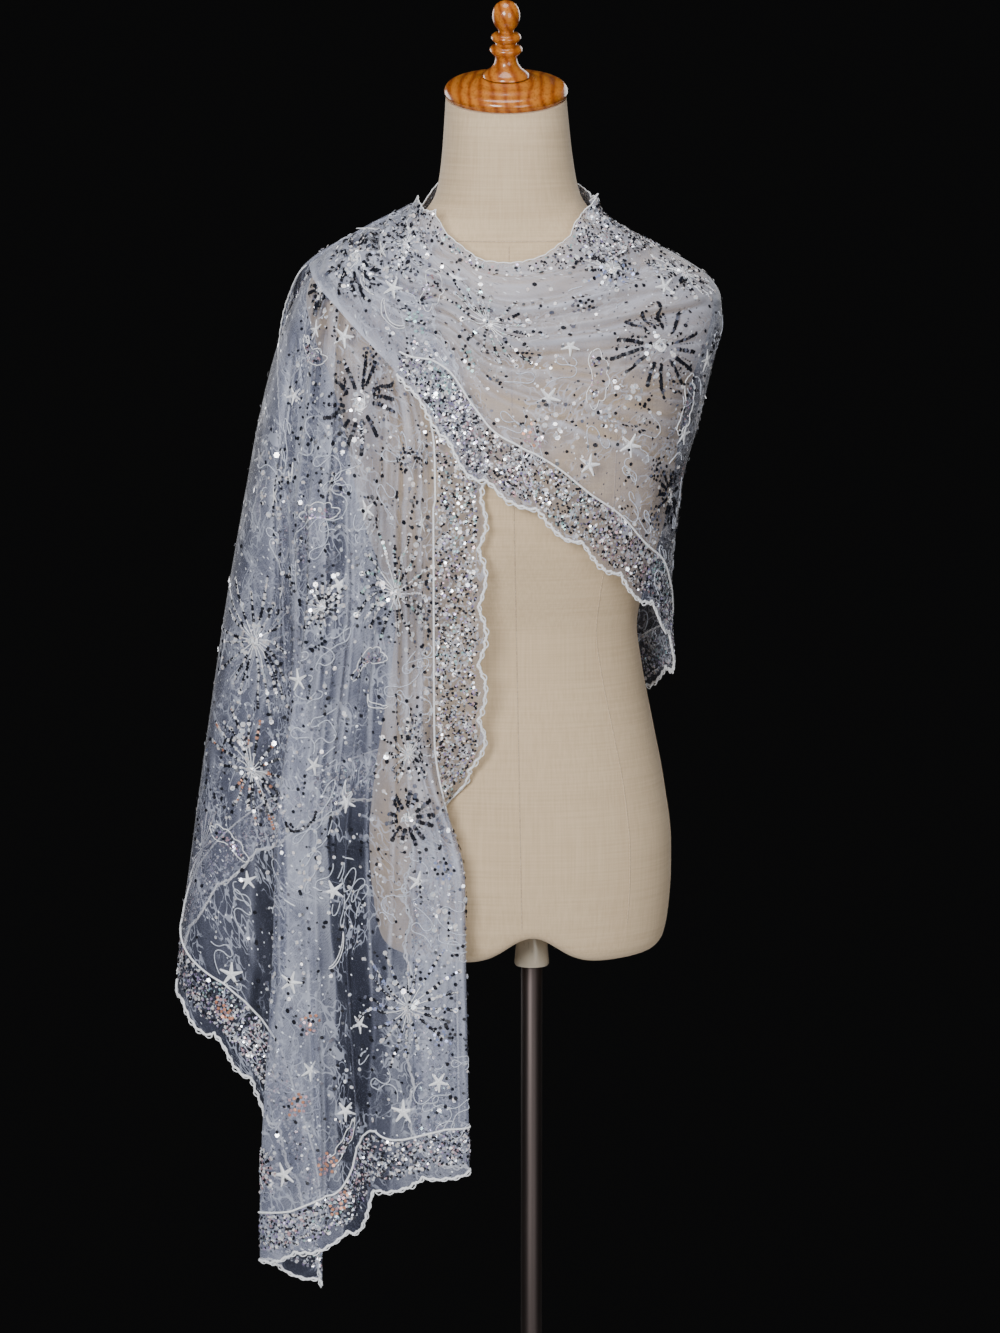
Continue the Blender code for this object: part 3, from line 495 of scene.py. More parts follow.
seam_linen = finish_of("linen_seams", (0.52, 0.40, 0.275), 0.9)
place = object_place(seam_linen)
stitches = speckle(seam_linen, place, 700, detail=1)
vary(seam_linen, "Base Color", stitches, [(0.35, (0.44, 0.335, 0.225)), (0.65, (0.60, 0.475, 0.335))])
seam_heights = np.linspace(0.793, 1.432, 120)
seam_turns = [0 * seam_heights + turn for turn in (0, 90, 180, 270)]
for column in ("princess", "back_princess"):
    seam_turn = read(SEAM_ROWS, column, seam_heights)
    seam_turns += [seam_turn, -seam_turn]
seams = [form_point(seam_heights, turn) for turn in seam_turns]
seams.append(form_point(NECK_SEAM, np.linspace(0, 360, 121)))
thread_lines("form_seams", seams, SEAM_RADIUS, seam_linen, sides=2)

# The neck cap and its finial: turned hardwood under a glossy orange-brown lacquer. The cap
# is pegged to the neck and follows its slant, and the finial is glued on top.
CAP_THICKNESS = 0.013
CAP_CROWN = 0.006
CAP_GAP = 0.0003
CAP_RADIUS = FORM_SECTIONS[-1].half_width + 0.0015
NECK_SLANT = math.radians(FORM_SECTIONS[-1].slant)
CAP_ROWS = table(
    "radius height",
    (0.0, CAP_THICKNESS + CAP_CROWN), (CAP_RADIUS * 0.38, CAP_THICKNESS + CAP_CROWN * 0.85),
    (CAP_RADIUS * 0.44, CAP_THICKNESS + CAP_CROWN * 0.78),
    (CAP_RADIUS * 0.46, CAP_THICKNESS + CAP_CROWN * 0.60),
    (CAP_RADIUS * 0.62, CAP_THICKNESS + CAP_CROWN * 0.44),
    (CAP_RADIUS * 0.73, CAP_THICKNESS + CAP_CROWN * 0.34),
    (CAP_RADIUS * 0.75, CAP_THICKNESS + CAP_CROWN * 0.14),
    (CAP_RADIUS * 0.86, CAP_THICKNESS - 0.0003), (CAP_RADIUS * 0.93, CAP_THICKNESS - 0.0014),
    (CAP_RADIUS * 0.965, CAP_THICKNESS - 0.0030), (CAP_RADIUS * 0.99, CAP_THICKNESS - 0.0053),
    (CAP_RADIUS, CAP_THICKNESS - 0.0075), (CAP_RADIUS * 0.995, 0.0038),
    (CAP_RADIUS * 0.975, 0.0018), (CAP_RADIUS * 0.95, 0.0), (0.0, 0.0),
)
FINIAL_ROWS = table(
    "radius height",
    (0.0, 0.0720), (0.0032, 0.0717), (0.0062, 0.0706), (0.0092, 0.0684), (0.0115, 0.0650),
    (0.0128, 0.0610), (0.0130, 0.0570), (0.0123, 0.0528), (0.0108, 0.0490), (0.0086, 0.0458),
    (0.0070, 0.0438), (0.0072, 0.0423), (0.0110, 0.0412), (0.0135, 0.0392), (0.0141, 0.0370),
    (0.0130, 0.0347), (0.0100, 0.0325), (0.0099, 0.0306), (0.0130, 0.0292), (0.0151, 0.0270),
    (0.0152, 0.0245), (0.0132, 0.0222), (0.0106, 0.0200), (0.0102, 0.0165), (0.0112, 0.0125),
    (0.0142, 0.0080), (0.0185, 0.0045), (0.0212, 0.0022), (0.0215, 0.0), (0.0, 0.0),
)
lacquer = {"Coat Weight": 0.7, "Coat Roughness": 0.05, "Specular IOR Level": 0.3}
wood = finish_of("lacquered_wood", (0.45, 0.16, 0.035), 0.35, lacquer)
place = object_place(wood)
grain = {"Vector": place, "Scale": (1, 0.35, 1), "Rotation": (0.3, 0.2, 0.5)}
warp = put(wood, "ShaderNodeMapping", grain).outputs[0]
bands = {"Vector": warp, "Scale": 34.0, "Distortion": 5.0, "Detail": 3.0, "Detail Scale": 0.9}
growth = put(wood, "ShaderNodeTexWave", bands, wave_type="BANDS", bands_direction="X").outputs["Fac"]
pores = speckle(wood, place, 500, (1, 0.15, 1), 3)
early, late = (0.50, 0.170, 0.022), (0.29, 0.070, 0.007)
rings = [(0.0, early), (0.55, (0.44, 0.135, 0.016)), (0.85, (0.35, 0.092, 0.010)), (1.0, late)]
figure = blend_by(wood, growth, rings)
flecks = blend_by(wood, pores, [(0.35, (0.72, 0.66, 0.60)), (0.5, (1, 1, 1))])
feed(wood, "Base Color", multiplied(wood, figure, flecks))
neck_middle = Vector(mix(form_point(FORM_TOP, 0.0), form_point(FORM_TOP, 180.0), 0.5))
neck_up = Vector((0, -math.sin(NECK_SLANT), math.cos(NECK_SLANT)))
cap = turned("neck_cap_wood", CAP_ROWS, wood, 96, neck_middle + neck_up * CAP_GAP, NECK_SLANT)
knob_foot = neck_middle + neck_up * (CAP_THICKNESS + CAP_CROWN + 2 * CAP_GAP)
knob = turned("finial_wood", FINIAL_ROWS, wood, 64, knob_foot, NECK_SLANT)
for piece, node in ((cap, "neck_cap"), (knob, "finial")):
    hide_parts(node)
    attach(piece, "form")

# The fall: the shawl's front end, which hangs from the shoulder of -X in long folds. It is
# one width of fine net, hemmed all round with a band of sequins and a scalloped edge.
SEAT = 0.0017
BORDER = 0.038
SCALLOP_PITCH = 0.053
SCALLOP_DEPTH = 0.0075
DRAPE_POWER = 2.3
STEEPEST = 2.0
NUDGE = 1e-3
DRAPE_SECTIONS = table(
    "height left right front back slant",
    (0.420, 0.345, 0.150, 0.128, 0.160, 0.0),
    (0.600, 0.338, 0.150, 0.127, 0.156, 0.0),
    (0.742, 0.328, 0.150, 0.126, 0.150, 0.0),
    (0.859, 0.311, 0.150, 0.126, 0.143, 0.0),
    (0.976, 0.292, 0.149, 0.128, 0.134, 0.0),
    (1.091, 0.272, 0.146, 0.132, 0.126, 0.0),
    (1.205, 0.249, 0.158, 0.134, 0.122, 0.0),
    (1.262, 0.237, 0.174, 0.129, 0.120, 0.0),
    (1.318, 0.222, 0.188, 0.114, 0.117, 0.0),
    (1.355, 0.209, 0.197, 0.103, 0.111, 0.0),
    (1.378, 0.1985, 0.196, 0.094, 0.104, 0.0),
    (1.395, 0.1890, 0.1866, 0.086, 0.097, 0.0),
    (1.410, 0.1680, 0.1656, 0.081, 0.090, 1.0),
    (1.425, 0.1395, 0.1374, 0.077, 0.083, 2.0),
    (1.440, 0.1090, 0.1070, 0.073, 0.076, 4.0),
    (1.455, 0.0830, 0.0820, 0.070, 0.071, 6.0),
    (1.475, 0.073, 0.073, 0.068, 0.069, 9.0),
    (1.500, 0.070, 0.070, 0.067, 0.068, 10.0),
)

# The lines that the fall's folds follow, from its inner edge to the side of the form. chest,
# hip and hem are how far each lies on the side of -X, the depths are how far it stands in
# front of the hanging shape, and low is where the cloth ends.
FALL_LINES = table(
    "chest hip hem chest_depth low_depth low",
    (0.052, 0.112, 0.108, 0.000, -0.025, 0.588),
    (0.072, 0.092, 0.090, 0.001, -0.018, 0.580),
    (0.091, 0.072, 0.068, 0.002, -0.010, 0.574),
    (0.099, 0.063, 0.059, 0.001, -0.001, 0.572),
    (0.107, 0.084, 0.080, -0.002, 0.006, 0.571),
    (0.120, 0.116, 0.113, 0.002, 0.004, 0.561),
    (0.136, 0.147, 0.147, 0.003, -0.002, 0.552),
    (0.157, 0.178, 0.168, -0.003, -0.013, 0.507),
    (0.178, 0.202, 0.192, 0.001, -0.004, 0.499),
    (0.195, 0.225, 0.226, 0.003, 0.006, 0.486),
    (0.207, 0.241, 0.257, 0.001, -0.002, 0.479),
    (0.215, 0.227, 0.238, -0.003, -0.018, 0.470),
    (0.222, 0.206, 0.199, -0.005, -0.031, 0.449),
    (0.232, 0.236, 0.238, -0.006, -0.043, 0.592),
    (0.246, 0.291, 0.290, -0.001, -0.024, 0.676),
    (0.267, 0.330, 0.337, 0.000, 0.000, 0.732),
)

# Where the net lies in several thicknesses, folded over itself: each zone begins, in lines,
# at its place at the chest, the hip and the hem, and ends where the next one begins.
FALL_ZONES = table(
    "chest hip hem layers hip_layers hem_layers",
    (0.0, 0.0, 0.0, 1.2, 1.2, 1.2),
    (2.05, 2.05, 2.05, 1.5, 2.6, 2.0),
    (3.6, 3.2, 3.2, 2.5, 3.6, 2.6),
    (4.9, 4.6, 4.5, 1.5, 2.8, 2.4),
    (5.7, 5.5, 5.6, 2.3, 1.4, 1.3),
    (6.5, 6.1, 6.2, 3.2, 0.7, 0.7),
    (7.6, 7.45, 7.5, 1.5, 3.1, 2.2),
    (8.7, 8.3, 8.6, 2.6, 3.3, 2.4),
    (9.8, 9.2, 10.0, 1.6, 1.6, 2.0),
    (10.9, 11.0, 11.0, 2.8, 0.9, 0.7),
    (12.3, 12.2, 12.2, 1.6, 0.7, 0.5),
    (13.5, 13.6, 13.6, 2.4, 1.3, 0.6),
    (14.4, 14.5, 14.5, 1.6, 1.4, 0.8),
)
ZONE_BLEND = 0.09
TO_HIP = (1.10, 0.24)
TO_HEM = (0.80, 0.20)
CORD_LINE = 2
LAST_LINE = len(FALL_LINES) - 1
CHEST_HEIGHT = 1.20
HIP_HEIGHT = 0.85
HEM_HEIGHT = 0.50
BAND_LINES = 5
BAND_DEEPENS = (1.04, 0.90)
BAND_TURNS = (0.98, 0.84)
FOLDS_DEEPEN = (1.27, 0.98)
FOLDS_TURN = (1.13, 0.86)
FALL_TOP = 1.446
INNER_WAVE = 0.26
FALL_BORDER_AT = 0.9
FALL_FIELD_ROWS, FALL_BAND_ROWS = 130, 12
FALL_DOWN = np.linspace(0, FALL_BORDER_AT, FALL_FIELD_ROWS)
FALL_DOWN = np.append(FALL_DOWN, np.linspace(FALL_BORDER_AT, 1, FALL_BAND_ROWS)[1:])
FALL_ACROSS = np.linspace(0, LAST_LINE, 406)
EDGE_CLIMB = table(
    "height turn",
    (1.200, 5.4),
    (1.250, 6.2),
    (1.300, 10.0),
    (1.350, 16.5),
    (1.400, 25.0),
    (1.430, 34.0),
    (1.450, 44.0),
)

# Creases hung into the net. first and last are where one begins and ends along the stretch,
# start and end where it lies across it, as shares. A depth below 0 is a trough, and a bend
# above 1 keeps a crease near its start for longer.
CREASE = "first last start end width depth bend"
FINER_WIDTH = 0.75
FEWEST_LAYERS = 0.6
THREAD_LIFT = 0.0006
FALL_CREASES = table(
    CREASE,
    (0.02, 0.62, 0.205, 0.200, 0.0040, 0.0024, 1),
    (0.10, 0.95, 0.240, 0.250, 0.0034, -0.0030, 1),
    (0.00, 0.48, 0.285, 0.300, 0.0040, 0.0030, 1),
    (0.22, 1.02, 0.318, 0.326, 0.0030, 0.0024, 1),
    (0.05, 0.70, 0.365, 0.355, 0.0038, -0.0036, 1),
    (0.12, 0.55, 0.400, 0.420, 0.0034, 0.0030, 1),
    (0.30, 1.02, 0.455, 0.448, 0.0032, 0.0024, 1),
    (0.00, 0.66, 0.520, 0.500, 0.0038, 0.0036, 1),
    (0.40, 1.02, 0.530, 0.540, 0.0030, -0.0026, 1),
    (0.04, 0.50, 0.590, 0.575, 0.0036, -0.0036, 1),
    (0.18, 0.88, 0.640, 0.630, 0.0034, 0.0030, 1),
    (0.00, 0.74, 0.720, 0.730, 0.0044, 0.0036, 1),
    (0.25, 0.92, 0.790, 0.800, 0.0036, -0.0032, 1),
    (0.02, 0.60, 0.860, 0.845, 0.0044, 0.0036, 1),
    (0.10, 0.80, 0.930, 0.915, 0.0038, -0.0032, 1),
)


def drape_base(height, turn):
    return shell_point(DRAPE_SECTIONS, DRAPE_POWER, ("left", "right"), height, turn)


def unit(vectors):
    return vectors / np.maximum(np.linalg.norm(vectors, axis=-1, keepdims=True), 1e-12)


def drape_point(height, turn, lift):
    """A point of the shape that the cloth takes round the form, moved outwards by a lift."""
    along = drape_base(height, turn + 1) - drape_base(height, turn - 1)
    up = drape_base(height + NUDGE, turn) - drape_base(height - NUDGE, turn)
    return drape_base(height, turn) + unit(np.cross(up, along)) * np.asarray(lift)[..., None]


def turn_of(left, height):
    """The turn at which the hanging shape lies that far on the side of -X."""
    half = read(DRAPE_SECTIONS, "left", height)
    share = np.clip((left + centre(height)) / half, -0.99, 0.99)
    return np.degrees(np.arcsin(rounded(share, 4 / DRAPE_POWER)))


def fall_turn(n, height):
    """The turn of one of the fall's lines, down from the neck."""
    row = FALL_LINES[n]
    if n == LAST_LINE:
        return 90 + 0 * height
    begins, ends = BAND_TURNS if n <= BAND_LINES else FOLDS_TURN
    left = mix(row.chest, row.hip, ease((begins - height) / (begins - ends)))
    left = left + (row.hem - row.hip) * ease((HIP_HEIGHT - height) / (HIP_HEIGHT - HEM_HEIGHT))
    edge = read(EDGE_CLIMB, "turn", height)
    edge_at_chest = turn_of(FALL_LINES[0].chest, CHEST_HEIGHT)
    here = turn_of(row.chest, CHEST_HEIGHT)
    climbing = edge + (here - edge_at_chest) * (90 - edge) / (90 - edge_at_chest)
    return np.where(height < CHEST_HEIGHT, turn_of(left, height), climbing)


def fall_depth(n, height):
    """How far one of the fall's lines stands in front of the hanging shape."""
    row = FALL_LINES[n]
    begins, ends = BAND_DEEPENS if n <= BAND_LINES else FOLDS_DEEPEN
    depth = mix(row.chest_depth, row.low_depth, ease((begins - height) / (begins - ends)))
    return depth * ease((FALL_TOP - height) / 0.10)


def fall_layers(line, height):
    """How many thicknesses of net lie together, with crisp steps at the folds' edges and a line of
    extra layers along most of those edges, partly denser net where the cloth turns and partly a painted
    sheen.
    """
    layers = FALL_ZONES[0].layers + 0.0 * line
    lowered, lowest = (ease((start - height) / drop) for start, drop in (TO_HIP, TO_HEM))
    for zone in FALL_ZONES[1:]:
        at = mix(mix(zone.chest, zone.hip, lowered), zone.hem, lowest)
        at = at + 0.08 * np.sin(height * 23 + zone.chest * 5)
        at = at + 0.04 * np.sin(height * 61 + zone.hip * 3)
        here = mix(mix(zone.layers, zone.hip_layers, lowered), zone.hem_layers, lowest)
        reached = ease((line - at) / ZONE_BLEND + 0.5)
        # A line of extra layers along a fold's edge: partly denser net where the cloth turns, partly a
        # painted sheen.
        fold_edge_net_and_sheen = 0.9 * np.exp(-(((line - at) / (0.7 * ZONE_BLEND)) ** 2)) * (zone.chest > 3)
        layers = mix(layers, here, reached) + fold_edge_net_and_sheen
    return layers


def through(values, at):
    """A round curve through evenly spaced values, which may swing past them."""
    count = len(values)
    i = np.clip(at.astype(int), 0, count - 2)
    f = at - i

    def pick(n):
        return np.take_along_axis(values, np.clip(n, 0, count - 1)[None], 0)[0]

    p1, p2 = pick(i), pick(i + 1)
    p0 = np.where(i > 0, pick(i - 1), 2 * p1 - p2)
    p3 = np.where(i + 2 < count, pick(i + 2), 2 * p2 - p1)
    bend = 2 * p0 - 5 * p1 + 4 * p2 - p3 + f * (3 * (p1 - p2) + p3 - p0)
    return p1 + 0.5 * f * (p2 - p0 + f * bend)


def fall_read(value_of, line, height):
    """A turn or a depth between the fall's lines."""
    line, height = np.broadcast_arrays(np.asarray(line, float), np.asarray(height, float))
    return through(np.array([value_of(n, height) for n in range(len(FALL_LINES))]), line)


def fall_at(line, height):
    """A point of the fall: line counts along FALL_LINES and may lie between two of them."""
    place = drape_point(height + 0 * line, fall_read(fall_turn, line, height), SEAT + 0 * line)
    place[..., 1] -= fall_read(fall_depth, line, height)
    return place


def fall_low(line):
    return np.interp(line, range(len(FALL_LINES)), [row.low for row in FALL_LINES])


def scallop(length):
    """How deep the edge's scallops are at a length along it."""
    return SCALLOP_DEPTH * np.abs(np.sin(math.pi * length / SCALLOP_PITCH))


def running(points):
    """The length run along a line of points, or down each line of a net of points."""
    steps = np.linalg.norm(np.diff(points, axis=0), axis=-1)
    return np.concatenate([np.zeros_like(steps[:1]), np.cumsum(steps, axis=0)])


def steepness(point_at, place, reach):
    """How much longer than a border's width its drop is, where the edge below it slopes."""
    before, here, after = point_at(place - reach), point_at(place), point_at(place + reach)
    flat = sum(np.linalg.norm(step[..., :2], axis=-1) for step in (here - before, after - here))
    return np.minimum(np.hypot(1, (after - before)[..., 2] / np.maximum(flat, NUDGE)), STEEPEST)


def at_edge(down):
    """How far a border's row follows the scallops: wholly at the edge, and not in the band."""
    return np.maximum(down - 0.8, 0) / 0.2


def cut_where(line, kept):
    """The parts of a line whose points are all kept."""
    cuts = np.nonzero(np.diff(kept.astype(int)))[0] + 1
    return [part for part, on in zip(np.split(line, cuts), np.split(kept, cuts)) if on[0]]


class Stretch:
    """A stretch of the cloth as a net of points, along its folds first and then across them.
    The creases lift its points, each with a finer one beside it, and change its layers: more
    net on one flank, partly gathered net and partly a painted highlight, and less on the
    other flank, a painted shade."""

    def __init__(self, points, layers, creases, seed):
        chance = random.Random(seed)
        self.layers = layers.copy()
        count, wide = points.shape[:2]
        share = np.linspace(0, 1, count)
        run = running(points.transpose(1, 0, 2)).T
        lift = np.zeros((count, wide))
        finer = []
        for crease in creases:
            shift, size = chance.choice([-1, 1]) * chance.uniform(0.02, 0.045), chance.uniform(0.35, 0.6)
            first, last = sorted((chance.uniform(0, 0.6), chance.uniform(0.5, 1)))
            start, stop = crease.start + shift, crease.end + 1.4 * shift
            depth = crease.depth * -size
            width = crease.width * FINER_WIDTH
            row = crease._replace(first=first, last=last, start=start, end=stop)
            finer.append(row._replace(width=width, depth=depth))
        for crease in creases + finer:
            along = (share - crease.first) / (crease.last - crease.first)
            fade = ease(7 * along) * ease(5 * (1 - along)) * (along > 0) * (along < 1)
            uneven = 1 + 0.35 * np.sin(share * chance.uniform(9, 17) + chance.uniform(0, 6))
            at = mix(crease.start, crease.end, np.clip(along, 0, 1) ** crease.bend) * (wide - 1)
            at = at + 0.005 * (wide - 1) * np.sin(share * chance.uniform(7, 13) + chance.uniform(0, 6))
            for n in np.nonzero(fade)[0]:
                away = (run[n] - np.interp(at[n], range(wide), run[n])) / crease.width
                lift[n] += crease.depth * fade[n] * uneven[n] * np.exp(-(away**2))
                # Painted light along each crease: extra layers on one flank, partly gathered net and
                # partly a painted highlight, and fewer layers on the other flank, a painted shade.
                ridge_net_and_painted_highlight = 1.4 * np.exp(-((1.5 * away - 0.6) ** 2))
                painted_crease_shade = 0.6 * np.exp(-((1.4 * away + 1.1) ** 2))
                self.layers[n] += fade[n] * (ridge_net_and_painted_highlight - painted_crease_shade)
        self.layers = np.maximum(self.layers, FEWEST_LAYERS * layers)
        self.points = points + self.facing(points) * lift[..., None]
        self.out = self.facing(self.points)
        self.across = unit(np.gradient(self.points, axis=1))
        self.long = running(self.points)
        self.wide = running(self.points.transpose(1, 0, 2)).T

    @staticmethod
    def facing(points):
        """The directions in which a net of points faces, away from the pole."""
        out = unit(np.cross(np.gradient(points, axis=1), np.gradient(points, axis=0)))
        away = (out[..., :2] * points[..., :2]).sum()
        return out if away > 0 else -out

    def read(self, net, i, j):
        """A net's value between its points."""
        i = np.clip(i, 0, net.shape[0] - 1.001)
        j = np.clip(j, 0, net.shape[1] - 1.001)
        a, b = i.astype(int), j.astype(int)
        f, g = i - a, j - b
        if net.ndim == 3:
            f, g = f[..., None], g[..., None]
        return mix(mix(net[a, b], net[a + 1, b], f), mix(net[a, b + 1], net[a + 1, b + 1], f), g)

    def reach(self, i, j, x, y):
        """Where steps of x metres across and y metres along lead from a place, if it is cloth."""
        count, wide = self.long.shape
        x, y = np.broadcast_arrays(np.asarray(x, float), np.asarray(y, float))
        column = self.read(self.long, np.arange(count), np.full(count, float(j)))
        wanted = np.interp(i, range(count), column) + y.ravel()
        rows = np.interp(wanted, column, range(count))
        inside = (wanted > 0) & (wanted < column[-1])
        places = []
        for row, step in zip(rows, x.ravel()):
            a = min(int(row), count - 2)
            run = mix(self.wide[a], self.wide[a + 1], row - a)
            goal = np.interp(j, range(wide), run) + step
            places.append(np.interp(goal, run, range(wide)) if 0 < goal < run[-1] else -1.0)
        places = np.array(places)
        return rows, places, inside & (places >= 0)

    def line(self, i, j, x, y):
        """The lines of points that a path of steps draws on the cloth, cut at its edges."""
        rows, places, inside = self.reach(i, j, x, y)
        points = self.read(self.points, rows, places) + self.read(self.out, rows, places) * THREAD_LIFT
        return [line for line in cut_where(points, inside) if len(line) > 1]


NET_HOLE = 0.0013
ONE_LAYER = 0.17
SEED_PITCH = 0.0085
STITCH_TONE = (0.60, 0.64, 0.76)

net = finish_of("fine_net", (0.46, 0.49, 0.62), 0.5, {"Sheen Weight": 0.5, "Sheen Roughness": 0.35})
woven = put(net, "ShaderNodeUVMap", uv_map="metres").outputs[0]


def number(kind, first, second, **settings):
    return put(net, "ShaderNodeMath", {0: first, 1: second}, operation=kind, **settings).outputs[0]


def cells(scale, randomness, feature):
    inputs = {"Vector": woven, "Scale": scale, "Randomness": randomness}
    return put(net, "ShaderNodeTexVoronoi", inputs, feature=feature, voronoi_dimensions="2D")


def fine_stitching(scale, stretch, width):
    """Thin winding lines: where a soft noise passes through its middle value."""
    away = number("ABSOLUTE", number("SUBTRACT", speckle(net, woven, scale, stretch, 1), 0.5), 0.0)
    return blend_by(net, away, [(width, 1.0), (width * 1.7, 0.0)])


holes = cells(1 / NET_HOLE, 0.3, "DISTANCE_TO_EDGE").outputs["Distance"]
knots = blend_by(net, holes, [(0.04, 1.5), (0.20, 0.72)])
layers = put(net, "ShaderNodeAttribute", attribute_name="layers").outputs["Fac"]
cloudy = blend_by(net, speckle(net, woven, 34, (1, 0.3, 1), 4), [(0.32, 0.66), (0.68, 1.34)])
thickness = number("MULTIPLY", number("MULTIPLY", layers, cloudy), knots)
clear = number("POWER", 1 - ONE_LAYER, thickness)
cover = number("SUBTRACT", 1.0, clear, use_clamp=True)
broad, narrow = fine_stitching(62, (1, 0.7, 1), 0.016), fine_stitching(95, (1, 0.6, 1), 0.014)
worked = number("MAXIMUM", broad, narrow)
worked = number("MULTIPLY", worked, blend_by(net, speckle(net, woven, 19), [(0.44, 0.0), (0.54, 0.6)]))
seeds = cells(1 / SEED_PITCH, 1.0, "F1")
seeded = blend_by(net, seeds.outputs["Distance"], [(0.10, 1.0), (0.125, 0.0)])
seed_parts = put(net, "ShaderNodeSeparateColor", {"Color": seeds.outputs["Color"]})
seeded = number("MULTIPLY", seeded, blend_by(net, seed_parts.outputs[0], [(0.42, 0.0), (0.46, 1.0)]))
dark_seed, white_seed = (0.04, 0.045, 0.06), (0.80, 0.84, 0.92)
seed_tone = blend_by(net, seed_parts.outputs[1], [(0.66, dark_seed), (0.70, white_seed)])
feed(net, "Alpha", number("MAXIMUM", cover, number("MAXIMUM", worked, seeded)))
# The net's colour darkens where fewer layers lie, so the layers painted at the creases and the folds'
# edges show as painted shade, painted highlight and painted sheen.
tones = [(0.1, (0.20, 0.225, 0.36)), (0.45, (0.31, 0.335, 0.47)), (0.85, (0.50, 0.53, 0.65))]
tone = blend_by(net, number("MULTIPLY", thickness, 0.2), tones)
with_lines = put(net, "ShaderNodeMix", {0: worked, 6: tone, 7: (*STITCH_TONE, 1)}, data_type="RGBA")
all_tones = {0: seeded, 6: with_lines.outputs[2], 7: seed_tone}
with_seeds = put(net, "ShaderNodeMix", all_tones, data_type="RGBA")
feed(net, "Base Color", with_seeds.outputs[2])


def lay(name, stretch, nodes):
    """Makes a stretch of cloth a thin sheet in place of its solids, with the net's own lengths."""
    piece, places = grid_of(stretch.points, name, net)
    mesh = piece.data
    i, j = np.array(places).T
    corners = np.zeros(len(mesh.loops), np.int32)
    mesh.loops.foreach_get("vertex_index", corners)
    metres = np.stack([stretch.wide[i, j], stretch.long[i, j]], axis=-1)[corners]
    mesh.uv_layers.new(name="metres").data.foreach_set("uv", metres.astype(np.float32).ravel())
    # The layers also hold the painted shade and painted highlight beside the creases and the painted sheen
    # along the folds' edges.
    thick = mesh.attributes.new("layers", "FLOAT", "POINT")
    thick.data.foreach_set("value", stretch.layers[i, j].astype(np.float32))
    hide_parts(*nodes)
    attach(piece, "form")


def fall_row(down):
    return np.interp(down, FALL_DOWN, range(len(FALL_DOWN)))


def fall_column(line):
    return line / LAST_LINE * (len(FALL_ACROSS) - 1)


def fall_net():
    """The fall as a stretch, with its border as wide as it is sewn, and its rows' heights."""
    down, line = np.meshgrid(FALL_DOWN, FALL_ACROSS, indexing="ij")

    def low_point(at):
        at = np.clip(at, 0.0, LAST_LINE)
        return fall_at(at, fall_low(at))

    hem_run = running(low_point(FALL_ACROSS))
    steep = sum(steepness(low_point, FALL_ACROSS + shift, 0.5) for shift in (-0.3, 0, 0.3)) / 3
    border_top = fall_low(FALL_ACROSS) + BORDER * steep
    in_field = mix(FALL_TOP, border_top[None, :], down / FALL_BORDER_AT)
    band = np.clip((down - FALL_BORDER_AT) / (1 - FALL_BORDER_AT), 0, 1)
    drop = (BORDER * band + scallop(hem_run)[None, :] * at_edge(band)) * steep[None, :]
    height = np.where(down < FALL_BORDER_AT, in_field, border_top[None, :] - drop)
    points = fall_at(line, height)
    near = np.maximum(INNER_WAVE - FALL_ACROSS, 0)[None, :, None] / INNER_WAVE
    wave = scallop(running(points[:, 0]))[:, None, None] * near
    points = points + unit(points[:, :1] - points[:, 8:9]) * wave
    return Stretch(points, fall_layers(line, height), FALL_CREASES, 11), height


fall, fall_heights = fall_net()
fall_nodes = ("fall_field", "fall_hem_border", "fall_outer_border", "fall_inner_border")
lay("fall_net", fall, fall_nodes)


def fall_place(line, height):
    """Where a line and a height are in the fall's net of points."""
    j = fall_column(line)
    column = fall.read(fall_heights, np.arange(len(FALL_DOWN)), np.full(len(FALL_DOWN), float(j)))
    return np.interp(-height, -column, range(len(column))), j


# The wound stretches: from the fall the shawl goes across the back, under the far arm's
# place and up over the chest, with its sequined band rolled under where it crosses.
ROLLED_EDGE = 0.012
OVER_LIFT = 0.0100
ROLL_TURNS = (366, 388)
EDGES = table(
    "turn top low lift",
    (90, 1.446, 0.732, SEAT),
    (105, 1.464, 0.778, SEAT),
    (125, 1.476, 0.826, SEAT),
    (150, 1.480, 0.875, SEAT),
    (180, 1.480, 0.918, SEAT),
    (210, 1.478, 0.964, SEAT),
    (240, 1.474, 1.010, SEAT),
    (270, 1.468, 1.038, SEAT),
    (285, 1.465, 1.066, SEAT),
    (300, 1.460, 1.096, SEAT),
    (316, 1.453, 1.120, SEAT),
    (330, 1.442, 1.146, SEAT + 0.001),
    (342, 1.431, 1.168, 0.0055),
    (352, 1.419, 1.190, 0.0080),
    (360, 1.413, 1.209, OVER_LIFT),
    (366, 1.415, 1.230, OVER_LIFT),
    (371, 1.422, 1.256, OVER_LIFT),
    (377, 1.430, 1.288, OVER_LIFT),
    (396, 1.447, 1.346, OVER_LIFT),
    (414, 1.456, 1.379, OVER_LIFT),
    (432, 1.464, 1.397, 0.0090),
    (450, 1.468, 1.403, 0.0090),
)
END_TURN = 450
FOLDS = table(
    "first last start end width depth",
    (150, 262, 0.16, 0.14, 0.050, 0.004),
    (118, 262, 0.30, 0.27, 0.055, 0.005),
    (104, 268, 0.47, 0.42, 0.060, 0.006),
    (112, 262, 0.65, 0.60, 0.060, 0.005),
    (108, 250, 0.82, 0.80, 0.055, 0.004),
    (292, 452, 0.22, 0.18, 0.060, 0.004),
    (282, 452, 0.34, 0.36, 0.055, 0.005),
    (290, 452, 0.47, 0.53, 0.060, 0.004),
    (300, 452, 0.62, 0.69, 0.055, 0.004),
    (318, 452, 0.76, 0.84, 0.050, 0.003),
)
